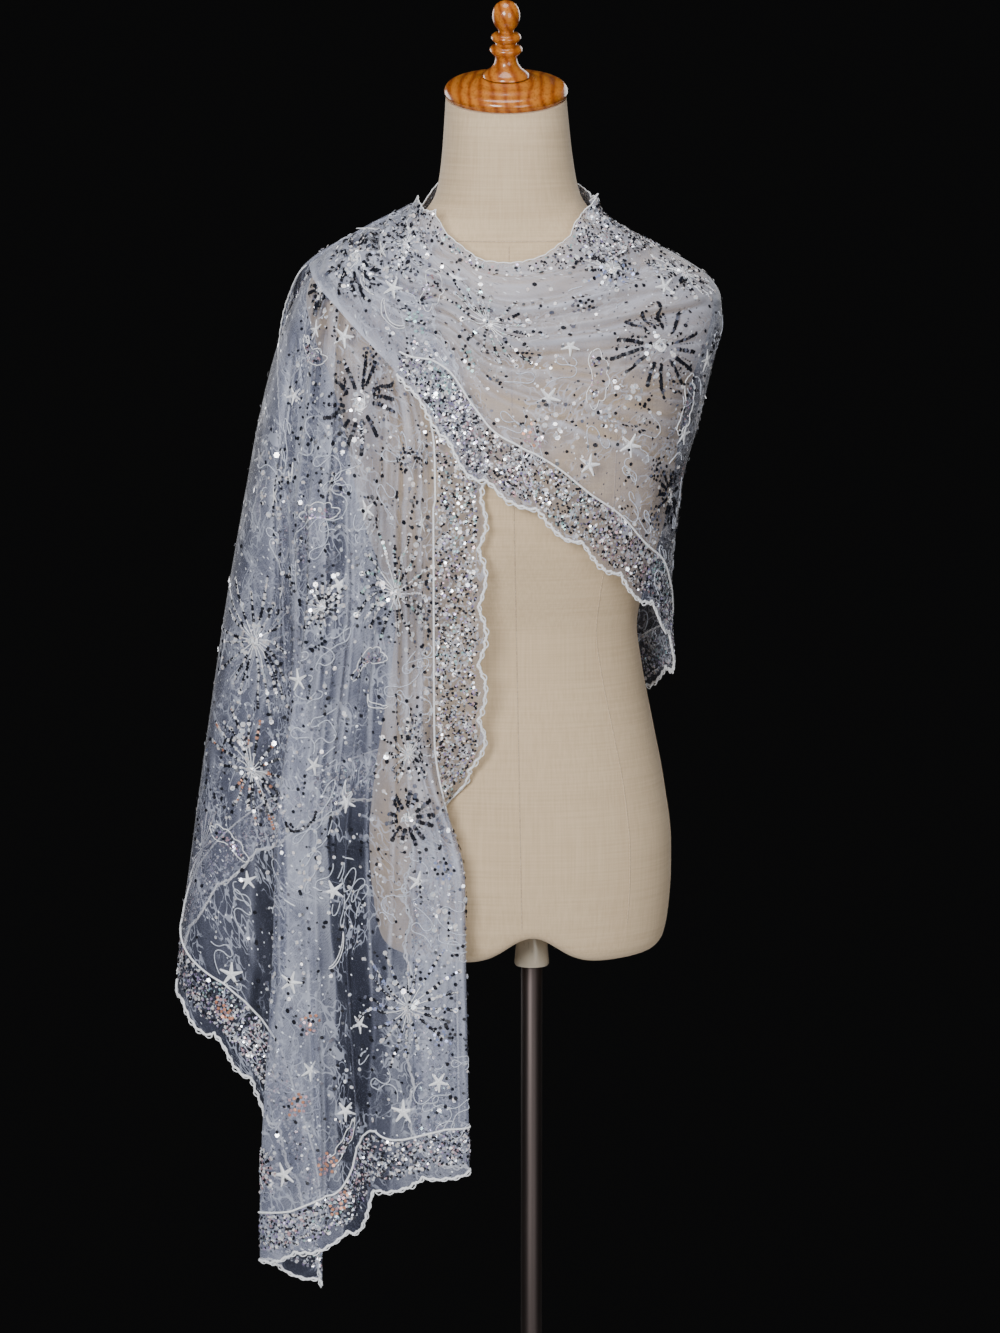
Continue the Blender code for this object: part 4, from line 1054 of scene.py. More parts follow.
CHEST_CREASES = table(
    CREASE,
    (0.02, 1.02, 0.07, 0.20, 0.0036, 0.0028, 1.0),
    (0.05, 0.95, 0.10, 0.32, 0.0030, -0.0034, 1.2),
    (0.03, 1.02, 0.14, 0.44, 0.0036, 0.0038, 1.4),
    (0.08, 0.92, 0.18, 0.55, 0.0030, -0.0038, 1.6),
    (0.04, 1.00, 0.22, 0.66, 0.0036, 0.0040, 1.8),
    (0.10, 0.90, 0.25, 0.76, 0.0030, -0.0038, 2.0),
    (0.06, 1.02, 0.29, 0.86, 0.0036, 0.0038, 2.1),
    (0.12, 0.88, 0.34, 0.92, 0.0032, -0.0034, 2.2),
    (0.15, 0.80, 0.41, 0.94, 0.0036, 0.0030, 2.2),
    (0.05, 0.55, 0.52, 0.62, 0.0050, 0.0018, 1.0),
    (0.10, 0.50, 0.64, 0.72, 0.0050, -0.0016, 1.0),
    (0.55, 1.02, 0.12, 0.14, 0.0032, -0.0036, 1.0),
    (0.58, 1.02, 0.26, 0.30, 0.0030, 0.0036, 1.0),
    (0.62, 1.02, 0.44, 0.50, 0.0032, -0.0034, 1.0),
    (0.60, 1.02, 0.62, 0.70, 0.0032, 0.0034, 1.0),
)
BACK_CREASES = table(
    CREASE,
    (0.05, 0.75, 0.10, 0.13, 0.0046, 0.0030, 1),
    (0.12, 0.92, 0.22, 0.20, 0.0040, -0.0034, 1),
    (0.04, 0.60, 0.34, 0.36, 0.0046, 0.0034, 1),
    (0.20, 0.96, 0.45, 0.40, 0.0052, 0.0036, 1),
    (0.08, 0.72, 0.56, 0.52, 0.0042, -0.0032, 1),
    (0.28, 0.94, 0.68, 0.62, 0.0046, 0.0032, 1),
    (0.06, 0.66, 0.78, 0.80, 0.0044, -0.0028, 1),
    (0.14, 0.90, 0.88, 0.90, 0.0044, 0.0026, 1),
)
WOUND_BORDER_AT = 0.86
WOUND_FIELD_ROWS, WOUND_BAND_ROWS = 190, 24
WOUND_DOWN = np.linspace(0, WOUND_BORDER_AT, WOUND_FIELD_ROWS)
WOUND_DOWN = np.append(WOUND_DOWN, np.linspace(WOUND_BORDER_AT, 1, WOUND_BAND_ROWS)[1:])

# How many thicknesses of net lie together, from the neck edge down
WOUND_LAYERS = table(
    "down chest crossing back",
    (0.00, 3.4, 4.0, 2.0),
    (0.18, 4.2, 4.6, 2.0),
    (0.34, 3.4, 4.6, 1.8),
    (0.46, 1.7, 4.0, 1.6),
    (0.75, 1.6, 3.6, 1.4),
    (1.00, 1.3, 3.0, 1.0),
)


def fold_lift(turn, down):
    """How far the broad folds lift the wound cloth."""
    lift = 0.0
    for fold in FOLDS:
        along = (turn - fold.first) / (fold.last - fold.first)
        at = mix(fold.start, fold.end, along)
        ends = ease(6 * along) * (ease(6 * (1 - along)) if fold.last < END_TURN else 1)
        lift = lift + fold.depth * ends * np.exp(-(((down - at) / fold.width) ** 2)) * (along < 1)
    return lift


def edge_of(turn, column):
    return read(EDGES, column, turn)


def wound_at(turn, height):
    """A point of the stretches that are wound round the back and the chest."""
    top, low = edge_of(turn, "top"), edge_of(turn, "low")
    lift = edge_of(turn, "lift") + fold_lift(turn, (top - height) / (top - low))
    return drape_point(height, turn, lift)


# Where the neck border stands away from the neck in small ruffles
RUFFLES = table(
    "turn spread out up waves",
    (292, 20, 0.011, 0.013, 9.0),
    (404, 10, 0.006, 0.012, 5.0),
)


def ruffled(points, turn, share):
    """The neck border's points, moved out and up where it stands in ruffles."""
    reach = np.maximum(1 - share / 0.11, 0) ** 1.5
    for row in RUFFLES:
        near = np.exp(-(((turn - row.turn) / row.spread) ** 2)) * reach
        wave = np.sin(np.radians(turn - row.turn) * 36 / row.waves * 5)
        away = unit(points * np.array([1, 1, 0]))
        points = points + away * (near * row.out * (0.55 + 0.45 * wave))[..., None]
        points[..., 2] += near * row.up * (0.75 + 0.25 * np.sin(np.radians(turn) * 21))
    return points


def wound_net(first, last, count, creases, seed):
    """The cloth between two turns as a stretch, rolled under where it crosses the fall."""
    turns = np.linspace(first, last, count)

    def low_point(at):
        return wound_at(at, edge_of(at, "low"))

    rolled = ease((turns - ROLL_TURNS[0]) / (ROLL_TURNS[1] - ROLL_TURNS[0]))
    drop = mix(BORDER, ROLLED_EDGE, rolled) * steepness(low_point, turns, 4)
    run = running(low_point(turns))
    scallops = round(run[-1] / SCALLOP_PITCH)
    wave = SCALLOP_DEPTH * np.abs(np.sin(math.pi * scallops * run / run[-1])) * (1 - rolled)
    turn, down = np.meshgrid(turns, WOUND_DOWN, indexing="ij")
    top, low = edge_of(turn, "top"), edge_of(turn, "low")
    band = np.clip((down - WOUND_BORDER_AT) / (1 - WOUND_BORDER_AT), 0, 1)
    drop, wave = drop[:, None], wave[:, None]
    in_field = mix(top, low + drop, down / WOUND_BORDER_AT)
    in_band = low + drop * (1 - band) - wave * drop / BORDER * at_edge(band)
    height = np.where(down < WOUND_BORDER_AT, in_field, in_band)
    share = (top - height) / (top - low)
    chest = read(WOUND_LAYERS, "chest", share)
    crossing = read(WOUND_LAYERS, "crossing", share)
    layers = mix(chest, crossing, ease((turn - 350) / 40))
    back = read(WOUND_LAYERS, "back", share)
    layers = mix(back, layers, ease((turn - 240) / 60))
    layers = layers + 2.5 * ease((share - 0.93) / 0.04) * ease((turn - 386) / 8)
    return Stretch(ruffled(wound_at(turn, height), turn, share), layers, creases, seed)


chest = wound_net(270, 450, 216, CHEST_CREASES, 5)
back = wound_net(90, 270, 200, BACK_CREASES, 7)
chest_nodes = ("chest_field", "chest_neck_border", "chest_lower_border")
back_nodes = ("back_field", "back_neck_border", "back_lower_border")
lay("chest_net", chest, chest_nodes)
lay("back_net", back, back_nodes)


def wound_row(down):
    return np.interp(down, WOUND_DOWN, range(len(WOUND_DOWN)))


def wound_place(stretch, turn, down):
    """Where a turn and a share of the way down are in a wound stretch's net of points."""
    first = 270 if stretch is chest else 90
    return (turn - first) / 180 * (stretch.points.shape[0] - 1), wound_row(down)


# The thrown end: what is left of the shawl goes over the shoulder and hangs down the back.
END_NECK_TURN = 520
END_SHOULDER_TURN = 486
END_NECK_HEM = 1.165
END_SHOULDER_HEM = 1.120
END_BORDER_AT = 0.87
END_SCALLOPS = 6
END_WAVE = 0.022
END_LIFT = 0.017
END_PLEATS = 3.0
END_PLEAT_DEPTH = 0.005
END_CREASES = table(
    CREASE,
    (0.10, 0.95, 0.14, 0.12, 0.0040, 0.0022, 1),
    (0.16, 0.80, 0.30, 0.34, 0.0036, -0.0026, 1),
    (0.12, 1.00, 0.50, 0.52, 0.0040, 0.0026, 1),
    (0.20, 0.90, 0.66, 0.62, 0.0036, -0.0022, 1),
    (0.14, 0.98, 0.84, 0.86, 0.0040, 0.0022, 1),
)


def end_at(across, down):
    """A point of the thrown end: across from the neck to the shoulder, down to its hem."""
    top = mix(edge_of(END_TURN, "top"), edge_of(END_TURN, "low"), across)
    hem = mix(END_NECK_HEM, END_SHOULDER_HEM, across)
    last = mix(END_NECK_TURN, END_SHOULDER_TURN, across**0.7)
    turn = mix(END_TURN, last, 1 - (1 - down) ** 2)
    height = mix(top, hem, down ** (1.5 - 0.3 * across))
    start = edge_of(END_TURN, "lift") + fold_lift(END_TURN, across) * (1 - ease(2 * down))
    start = mix(start, END_LIFT, ease(2 * down))
    pleat = END_PLEAT_DEPTH * np.sin(2 * math.pi * END_PLEATS * across) * ease(1.5 * down)
    return drape_point(height, turn, start + pleat)


def end_net():
    down, across = np.meshgrid(np.linspace(0, 1, 76), np.linspace(1, 0, 81), indexing="ij")
    band = np.clip((down - END_BORDER_AT) / (1 - END_BORDER_AT), 0, 1)
    wave = END_WAVE * np.abs(np.sin(math.pi * END_SCALLOPS * across)) * at_edge(band)
    points = end_at(across, down + wave)
    return Stretch(points, 2.6 - 1.2 * down, END_CREASES, 9)


end = end_net()
lay("end_net", end, ("end_field", "end_hem_border"))

# Cords and scalloped edges: a white satin cord is stitched down where the sequined band
# begins, and the band's scalloped edge is bound with thick stitches, in small loops.
CORD_RADIUS = 0.0010
EDGE_RADIUS = 0.00125
LOOP_RADIUS = 0.0007
PICOT_PITCH = 0.0112
PICOT_DEPTH = 0.0017
LOOP_DEPTH = 0.0036
CROSSING_TURN = 384

sheen = {"Sheen Weight": 0.5, "Sheen Roughness": 0.3}
satin = finish_of("white_satin_thread", (0.82, 0.84, 0.88), 0.42, sheen)
place = object_place(satin)
strands = speckle(satin, place, 900, detail=1)
vary(satin, "Base Color", strands, [(0.3, (0.76, 0.78, 0.84)), (0.7, (0.97, 0.98, 1.0))])
raise_by(satin, strands, 0.0004)


def along_net(stretch, rows, columns, lift, picots=0.0, shift=0.0):
    """A line on a stretch through the places rows, columns, raised by a lift. Picots are the
    small waves of a stitched edge, which swell away from the cloth."""
    points = stretch.read(stretch.points, rows, columns)
    out = stretch.read(stretch.out, rows, columns)
    run = running(points)
    beside = unit(np.cross(out, unit(np.gradient(points, axis=0))))
    middle = (np.array(stretch.points.shape[:2]) - 1) / 2
    inner = stretch.read(stretch.points, mix(rows, middle[0], 0.04), mix(columns, middle[1], 0.04))
    beside = beside * np.where(((points - inner) * beside).sum(-1, keepdims=True) > 0, 1, -1)
    uneven = 1 + 0.25 * np.sin(run * 130 + 2 * np.sin(run * 41))
    wave = picots * np.abs(np.sin(math.pi * run / PICOT_PITCH + shift)) * uneven
    return points + out * lift + beside * wave[:, None]


def stitched(stretch, name, cords, edges, plain_edges=()):
    """The cords and the bound edges of a stretch: each is a (rows, columns) pair of places."""
    loops = [along_net(stretch, *places, 0.0009, LOOP_DEPTH, 1.1) for places in edges]
    loops += [along_net(stretch, *places, 0.0006, PICOT_DEPTH * 0.5) for places in plain_edges]
    cords = [along_net(stretch, *places, 0.0010) for places in cords]
    edges = [along_net(stretch, *places, 0.0005, PICOT_DEPTH) for places in edges]
    for kind, lines, radius, sides in (
        ("_cord", cords, CORD_RADIUS, 1),
        ("_edge", edges, EDGE_RADIUS, 1),
        ("_edge_loops", loops, LOOP_RADIUS, 0),
    ):
        thread_lines(name + kind, lines, radius, satin, sides=sides)


last_row = len(FALL_DOWN) - 1
hem = (np.full(900, float(last_row)), fall_column(np.linspace(0, LAST_LINE, 900)))
inner_edge = (np.linspace(0, last_row, 900), np.zeros(900))
hem_cord = (np.full(600, fall_row(FALL_BORDER_AT)), fall_column(np.linspace(CORD_LINE, LAST_LINE, 600)))
inner_cord = (np.linspace(0, fall_row(FALL_BORDER_AT), 500), np.full(500, fall_column(CORD_LINE)))
stitched(fall, "fall", [hem_cord, inner_cord], [hem, inner_edge])
wound_last = len(WOUND_DOWN) - 1
cord_at = wound_row(WOUND_BORDER_AT)
for stretch, name, share in ((chest, "chest", (CROSSING_TURN - 270) / 180), (back, "back", 1.0)):
    count = stretch.points.shape[0] - 1
    cord = (np.linspace(0, count * share, 600), np.full(600, cord_at))
    edge = (np.linspace(0, count * share, 800), np.full(800, float(wound_last)))
    neck = (np.linspace(0, count, 700), np.zeros(700))
    stitched(stretch, name, [cord], [edge], [neck])
end_rows, end_columns = end.points.shape[0] - 1, end.points.shape[1] - 1
end_cord = (np.full(200, END_BORDER_AT * end_rows), np.linspace(0, end_columns, 200))
end_hem = (np.full(300, float(end_rows)), np.linspace(0, end_columns, 300))
end_sides = [(np.linspace(2, end_rows, 300), np.full(300, side)) for side in (0.0, float(end_columns))]
stitched(end, "end", [end_cord], [end_hem], end_sides)

# The sequins: small flat discs, sewn on one by one. In the bands they lie close together in
# patches of silver, smoke, rose, amber and sea green, and in the field they form figures.
SEQUIN_SIDES = 6
SEQUIN_LIFT = 0.0006
BAND_SEQUIN = 0.0025
BAND_SPACING = 0.0021
SILVER = (0.66, 0.69, 0.76)
WHITE = (0.96, 0.97, 1.0)
SMOKE = (0.022, 0.024, 0.034)
GREY = (0.20, 0.21, 0.27)
ROSE = (0.60, 0.40, 0.45)
AMBER = (0.72, 0.34, 0.22)
SEA = (0.45, 0.70, 0.70)
BLUE = (0.42, 0.48, 0.76)
VIOLET = (0.40, 0.33, 0.56)
PATCHES = [SILVER, SMOKE, WHITE, GREY, SMOKE, ROSE, WHITE]
PATCHES += [SMOKE, VIOLET, SILVER, SMOKE, SEA, WHITE, GREY]

gloss = finish_of("sequins", SILVER, 0.22, {"Metallic": 0.4, "Specular IOR Level": 0.8})
tint = put(gloss, "ShaderNodeVertexColor", layer_name="tint").outputs["Color"]
place = object_place(gloss)
film = speckle(gloss, place, 420, detail=1)
filmed = blend_by(gloss, film, [(0.35, (0.78, 0.86, 1.0)), (0.5, (1, 1, 1)), (0.65, (1.0, 0.86, 0.82))])
feed(gloss, "Base Color", multiplied(gloss, tint, filmed))
vary(gloss, "Roughness", film, [(0.3, 0.14), (0.7, 0.32)])

Bead = namedtuple("Bead", "i j size stretch spin tint")


def small_mesh(shape):
    """The points and faces of a small bmesh, to be copied many times."""
    points = np.array([v.co for v in shape.verts])
    faces = [[v.index for v in face.verts] for face in shape.faces]
    shape.free()
    return points, faces


def scatter(name, template, stretch, beads, finish, tilt, lift=SEQUIN_LIFT):
    """Joins a copy of a small mesh at each bead's place on the cloth, turned and tinted."""
    chance = np.random.default_rng(len(beads))
    points, faces = template
    rows, columns = np.array([bead[:2] for bead in beads], float).T
    size, stretch_by, spin = np.array([bead[2:5] for bead in beads], float).T[..., None]
    out = stretch.read(stretch.out, rows, columns)
    out = unit(out + chance.normal(0, tilt, out.shape))
    side = stretch.read(stretch.across, rows, columns)
    side = unit(side - out * (side * out).sum(-1, keepdims=True))
    ahead = np.cross(out, side)
    first = side * np.cos(spin) + ahead * np.sin(spin)
    second = np.cross(out, first)
    middles = stretch.read(stretch.points, rows, columns) + out * lift
    axes = (first * stretch_by, second, out)
    copies = sum(axis[:, None] * points[None, :, n : n + 1] for n, axis in enumerate(axes)) * size[:, None]
    verts = (middles[:, None] + copies).reshape(-1, 3)
    count = len(points)
    joined = [[index + n * count for index in face] for n in range(len(beads)) for face in faces]
    mesh = bpy.data.meshes.new(name)
    mesh.from_pydata(verts.tolist(), [], joined)
    tints = np.array([(*bead.tint, 1) for bead in beads], np.float32)
    layer = mesh.color_attributes.new("tint", "FLOAT_COLOR", "POINT")
    layer.data.foreach_set("color", np.repeat(tints, count, axis=0).ravel())
    mesh.materials.append(finish)
    piece = bpy.data.objects.new(name, mesh)
    parts.link(piece)
    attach(piece, "form")
    return piece


shape = bmesh.new()
bmesh.ops.create_circle(shape, cap_ends=True, radius=0.5, segments=SEQUIN_SIDES)
disc = small_mesh(shape)


def band_beads(stretch, rows, columns, seed, cover=0.85, dark=0.5):
    """Close-set sequins over a band of the net between two rows and two columns of points."""
    picker = np.random.default_rng(seed)
    high, wide = 160, 60
    net_i, net_j = np.meshgrid(np.linspace(*rows, high), np.linspace(*columns, wide), indexing="ij")
    points = stretch.read(stretch.points, net_i.ravel(), net_j.ravel()).reshape(high, wide, 3)
    down, across = np.diff(points, axis=0)[:, :-1], np.diff(points, axis=1)[:-1]
    area = np.linalg.norm(np.cross(down, across), axis=-1)
    count = int(cover * area.sum() / BAND_SPACING**2)
    a, b = np.divmod(picker.choice(area.size, count, p=area.ravel() / area.sum()), wide - 1)
    places_i = rows[0] + (a + picker.random(count)) * (rows[1] - rows[0]) / (high - 1)
    places_j = columns[0] + (b + picker.random(count)) * (columns[1] - columns[0]) / (wide - 1)
    x, y, z = stretch.read(stretch.points, places_i, places_j).T
    hue = np.sin(x * 61) + np.sin(z * 47 + y * 31) + np.sin(x * 210 - z * 170) * 0.6
    hue = ((hue + picker.normal(0, 0.55, count) + 3) * 2.4).astype(int) % len(PATCHES)
    beads = []
    for n in range(count):
        tone = PATCHES[hue[n]]
        if picker.random() < dark:
            tone = (WHITE, SMOKE, SMOKE, SMOKE, SILVER)[picker.integers(5)]
        size = BAND_SEQUIN * picker.uniform(0.7, 1.25)
        if picker.random() < 0.03:
            tone, size = WHITE, BAND_SEQUIN * 1.8
        beads.append(Bead(places_i[n], places_j[n], size, 1.0, picker.uniform(0, 6.3), tone))
    return beads


fall_band = band_beads(fall, (fall_row(0.905), fall_row(0.985)), (0, fall_column(LAST_LINE)), 21)
inner_band = (fall_column(0.12), fall_column(CORD_LINE - 0.12))
fall_band += band_beads(fall, (fall_row(0.06), fall_row(0.90)), inner_band, 22, 0.7)
scatter("fall_band_sequins", disc, fall, fall_band, gloss, 0.25)
for stretch, name, seed in ((chest, "chest", 31), (back, "back", 32)):
    count = stretch.points.shape[0] - 1
    last = count * (CROSSING_TURN - 270) / 180 if stretch is chest else count
    beads = band_beads(stretch, (0, last), (cord_at + 0.6, wound_last - 1.5), seed)
    neck_to = wound_row(0.10)
    right = count * 0.34 if stretch is chest else count
    beads += band_beads(stretch, (0, right), (0.5, neck_to), seed + 5, cover=0.75, dark=0.85)
    if stretch is chest:
        beads += band_beads(stretch, (right, count), (0.5, neck_to * 0.8), seed + 6, cover=0.3)
    scatter(name + "_band_sequins", disc, stretch, beads, gloss, 0.25)
beads = band_beads(end, (END_BORDER_AT * end_rows + 0.5, end_rows - 0.5), (0, end_columns), 33)
scatter("end_band_sequins", disc, end, beads, gloss, 0.25)

# The embroidery: bursts of stitched and sequined rays, small stars, moons and clouds, with
# a fine chain-stitched line that wanders between them, all worked on the net by machine.
STAR_RADIUS = 0.0105
THREAD_RADIUS = 0.00050
DARK_RAYS, LIGHT_RAYS = 13, 18
CLOUD_BUMPS = 5
CLUSTER_COUNT, CLUSTER_RADIUS = 19, 0.0115
WANDER_STEP = 0.002
DOT_TONES = [SMOKE, SMOKE, SMOKE, SMOKE, GREY, WHITE, WHITE, WHITE]
chain = finish_of("machine_stitching", (0.58, 0.62, 0.74), 0.5, {"Sheen Weight": 0.4})
twist = speckle(chain, object_place(chain), 800, detail=1)
vary(chain, "Base Color", twist, [(0.3, (0.42, 0.46, 0.57)), (0.7, (0.70, 0.74, 0.84))])
raise_by(chain, twist, 0.0003)


def star_shape():
    """Five slim padded stitches that meet in the middle."""
    shape = bmesh.new()
    for n in range(5):
        cone = {"segments": 4, "radius1": 0.20, "radius2": 0.06, "depth": 1.0}
        made = bmesh.ops.create_cone(shape, cap_ends=True, **cone)
        place = Matrix.Rotation(2 * math.pi * n / 5, 4, "Z") @ Matrix.Translation((0.5, 0, 0))
        place = place @ Matrix.Rotation(math.pi / 2, 4, "Y") @ Matrix.Scale(0.45, 4, (1, 0, 0))
        bmesh.ops.transform(shape, matrix=place, verts=made["verts"])
    bmesh.ops.recalc_face_normals(shape, faces=shape.faces)
    return small_mesh(shape)


star = star_shape()


class Embroidery:
    """What is worked on one stretch: its sequins, its stars and its lines of thread."""

    def __init__(self, stretch, place_at, seed):
        self.stretch, self.place_at = stretch, place_at
        self.chance = random.Random(seed)
        self.between, self.one_of = self.chance.uniform, self.chance.choice
        self.sequins, self.stars, self.lines, self.rays, self.kept = [], [], [], [], []

    def each(self, figure, *rows, same=()):
        """Works a figure at each row's place: the row's rest and what is the same say how."""
        for first, second, *own in rows:
            figure(self.place_at(first, second), *own, *same)

    def sequin(self, place, x, y, size, tone, stretch=1.0, spin=0.0):
        rows, columns, inside = self.stretch.reach(*place, x, y)
        for i, j, on in zip(rows, columns, inside):
            if on:
                self.sequins.append(Bead(i, j, size, stretch, spin, tone))

    def along_ray(self, place, away, angle, *sequin):
        self.sequin(place, away * math.cos(angle), away * math.sin(angle), *sequin)

    def draw(self, place, x, y):
        self.rays += self.stretch.line(*place, x, y)

    def keep(self, place, radius):
        """Keeps the wandering lines off a figure."""
        place = np.array(place, float)
        self.kept.append((self.stretch.read(self.stretch.points, *place[:, None])[0], radius))

    def star(self, place):
        self.keep(place, STAR_RADIUS)
        size = STAR_RADIUS * self.between(0.85, 1.15)
        self.stars.append(Bead(*place, size, 1.0, self.between(0, 6.3), WHITE))

    def dark_burst(self, place, radius):
        """Broad rays of overlapping dark sequins, with finer ones between, round white knots."""
        self.keep(place, radius * 1.1)
        for n in range(DARK_RAYS):
            angle = 2 * math.pi * (n + self.between(0.2, 0.8)) / DARK_RAYS
            for away in np.arange(radius * 0.40, radius * self.between(0.85, 1.1), 0.0022):
                shade = SMOKE if self.chance.random() < 0.85 else GREY
                self.along_ray(place, away, angle, 0.0047, shade, 0.8, angle)
            angle += math.pi / DARK_RAYS
            for away in np.arange(radius * 0.45, radius * self.between(0.7, 0.95), 0.0034):
                self.along_ray(place, away, angle, 0.0018, self.one_of([SMOKE, GREY, SILVER]))
        self.knots(place, radius * 0.34)

    def light_burst(self, place, radius, tone):
        """Fine stitched rays with sequins along their outer ends, round white knots."""
        self.keep(place, radius * 1.1)
        for n in range(LIGHT_RAYS):
            angle = 2 * math.pi * (n + self.between(0.15, 0.85)) / LIGHT_RAYS
            tip = radius * self.between(0.7, 1.1)
            reach = np.linspace(radius * 0.08, tip, 7)
            self.draw(place, reach * math.cos(angle), reach * math.sin(angle))
            for away in np.arange(tip * self.between(0.25, 0.45), tip * 1.02, 0.0027):
                shade = self.one_of([tone, WHITE, WHITE, SMOKE, SMOKE, SMOKE])
                self.along_ray(place, away, angle, self.one_of([0.0024, 0.0030, 0.0038]), shade)
            if n % 2 == 0:
                self.along_ray(place, tip, angle, 0.0050, WHITE)
        self.knots(place, radius * 0.15)

    def knots(self, place, radius):
        """Loops of thread and white sequins, heaped in the middle of a burst."""
        for n in range(9):
            angle = self.between(0, 2 * math.pi)
            bend = np.linspace(0, self.between(3, 6), 9) + angle
            grown = 0.6 * np.linspace(0.1, 1, 9)
            x = radius * (0.25 * math.cos(angle) + grown * np.cos(bend))
            y = radius * (0.25 * math.sin(angle) + grown * np.sin(bend))
            self.draw(place, x, y)
        for n in range(12):
            angle, away = self.between(0, 6.3), radius * self.between(0.1, 1.0)
            self.along_ray(place, away, angle, 0.0032, WHITE)

    def crescent(self, place, radius, tone, facing):
        angles = np.linspace(-1.3, 1.3, 19) + facing
        for inset in (0.0, 0.30):
            bulge = radius * (1 - inset * np.cos(angles - facing))
            x, y = bulge * np.cos(angles), bulge * np.sin(angles)
            if tone is WHITE:
                self.draw(place, x, y)
            elif inset == 0:
                self.sequin(place, x, y, 0.0030, tone, 1.2)

    def cloud(self, place, radius):
        """A stitched outline of round bumps over a wavy foot, filled with small sequins."""
        angles = np.linspace(math.pi * 1.02, math.pi * 1.98, CLOUD_BUMPS * 8)
        wave = 1 + 0.22 * np.abs(np.sin(np.linspace(0, math.pi * CLOUD_BUMPS, CLOUD_BUMPS * 8)))
        self.draw(place, radius * wave * np.cos(angles), radius * 0.6 * wave * np.sin(angles))
        foot = radius * 0.10 * np.sin(np.linspace(0, 9, 12))
        self.draw(place, np.linspace(-radius, radius, 12), foot)
        for n in range(34):
            x = self.between(-0.8, 0.8) * radius
            y = -self.between(0.04, 0.5) * radius * (1 - (x / radius) ** 2)
            self.sequin(place, x, y, 0.0024, self.one_of([VIOLET, SILVER, ROSE, SMOKE]))

    def cluster(self, place, tones):
        """A round patch of sequins, set in a spiral."""
        for n in range(CLUSTER_COUNT):
            away = CLUSTER_RADIUS * math.sqrt(n / CLUSTER_COUNT)
            self.along_ray(place, away, n * 2.4, 0.0034, self.one_of(tones))

    def sparkle(self, place):
        """A few large white sequins, loosely strewn."""
        for n in range(12):
            x, y = self.chance.gauss(0, 0.022 * 0.5), self.chance.gauss(0, 0.022 * 0.7)
            self.sequin(place, x, y, self.one_of([0.0044, 0.0056]), WHITE)

    def wander(self, place, length, heading):
        """A chain-stitched line that strolls in loops, and stops short of the figures."""
        run = np.arange(int(length / WANDER_STEP)) * WANDER_STEP
        a, b = self.between(0, 6.3), self.between(0, 6.3)
        slow, quick = self.between(0.008, 0.013), self.between(0.005, 0.007)
        bend = heading + 1.7 * np.sin(run / slow + a) + 0.6 * np.sin(run / quick + b)
        x, y = np.cumsum(np.cos(bend)) * WANDER_STEP, np.cumsum(np.sin(bend)) * WANDER_STEP
        for line in self.stretch.line(*place, x, y):
            free = np.ones(len(line), bool)
            for middle, radius in self.kept:
                free &= np.linalg.norm(line - middle, axis=-1) > radius
            self.lines += [points for points in cut_where(line, free) if len(points) > 4]

    def strolls(self, count, firsts, seconds, lengths, headings):
        """Wandering lines that start between two limits each way."""
        for n in range(count):
            place = self.place_at(self.between(*firsts), self.between(*seconds))
            self.wander(place, self.between(*lengths), self.one_of(headings))

    def bead_chain(self, place, length, heading):
        """A short row of dark sequins, as the folds show them."""
        away = 0.0
        while away < length:
            size, aside = self.between(0.0018, 0.0034), self.between(-0.0012, 0.0012)
            x = away * math.cos(heading) - aside * math.sin(heading)
            y = away * math.sin(heading) + aside * math.cos(heading)
            self.sequin(place, x, y, size, SMOKE, 1.3, heading)
            away += self.between(0.003, 0.007)

    def dots(self, rows, columns, count):
        """Single sequins, strewn over the field."""
        for n in range(count):
            place = self.between(*rows), self.between(*columns)
            size, tone = self.between(0.0024, 0.0044), self.one_of(DOT_TONES)
            self.sequins.append(Bead(*place, size, self.between(0.8, 1.3), 1.5, tone))

    def finish(self, name):
        scatter(name + "_sequins", disc, self.stretch, self.sequins, gloss, 0.18, lift=0.0013)
        scatter(name + "_stars", star, self.stretch, self.stars, satin, 0.03)
        threads = ("_stitching", self.lines, chain), ("_fine_stitching", self.rays, satin)
        for kind, lines, thread in threads:
            thread_lines(name + kind, lines, THREAD_RADIUS, thread, sides=0)


on_fall = Embroidery(fall, fall_place, 3)
on_fall.each(on_fall.dark_burst, (7.2, 1.285, 0.043), (4.9, 0.905, 0.028), (12.6, 1.385, 0.022))
on_fall.each(
    on_fall.light_burst,
    (14.1, 1.060, 0.062, SILVER),
    (5.4, 1.115, 0.052, SEA),
    (13.6, 0.935, 0.052, AMBER),
    (5.0, 0.725, 0.056, BLUE),
    (4.7, 0.965, 0.030, SILVER),
    (8.9, 1.100, 0.026, SILVER),
    (10.2, 0.560, 0.024, ROSE),
)
on_fall.each(
    on_fall.star,
    (11.0, 1.350), (8.0, 1.346), (13.7, 1.197), (6.8, 1.190), (6.9, 0.915), (7.3, 0.830),
    (4.7, 0.845), (13.9, 0.740), (6.5, 0.705), (8.4, 0.660), (4.2, 0.655), (5.2, 0.625),
    (8.0, 1.120), (9.6, 1.030), (12.9, 1.110), (8.3, 0.950), (13.6, 0.830), (7.2, 0.620),
    (3.2, 1.180), (9.2, 0.560), (13.1, 1.290), (9.0, 0.745),
)
on_fall.each(
    on_fall.crescent,
    (8.6, 0.905, 0.016, SMOKE, 1.57),
    (7.3, 0.775, 0.015, WHITE, 2.2),
    (6.8, 0.935, 0.014, WHITE, 0.6),
    (12.6, 1.230, 0.013, WHITE, 2.6),
    (6.1, 1.020, 0.014, WHITE, 1.2),
)
on_fall.each(
    on_fall.cloud,
    (6.6, 1.045), (9.2, 1.180), (13.9, 0.860), (7.2, 0.585), (11.8, 1.320),
    same=[0.022],
)
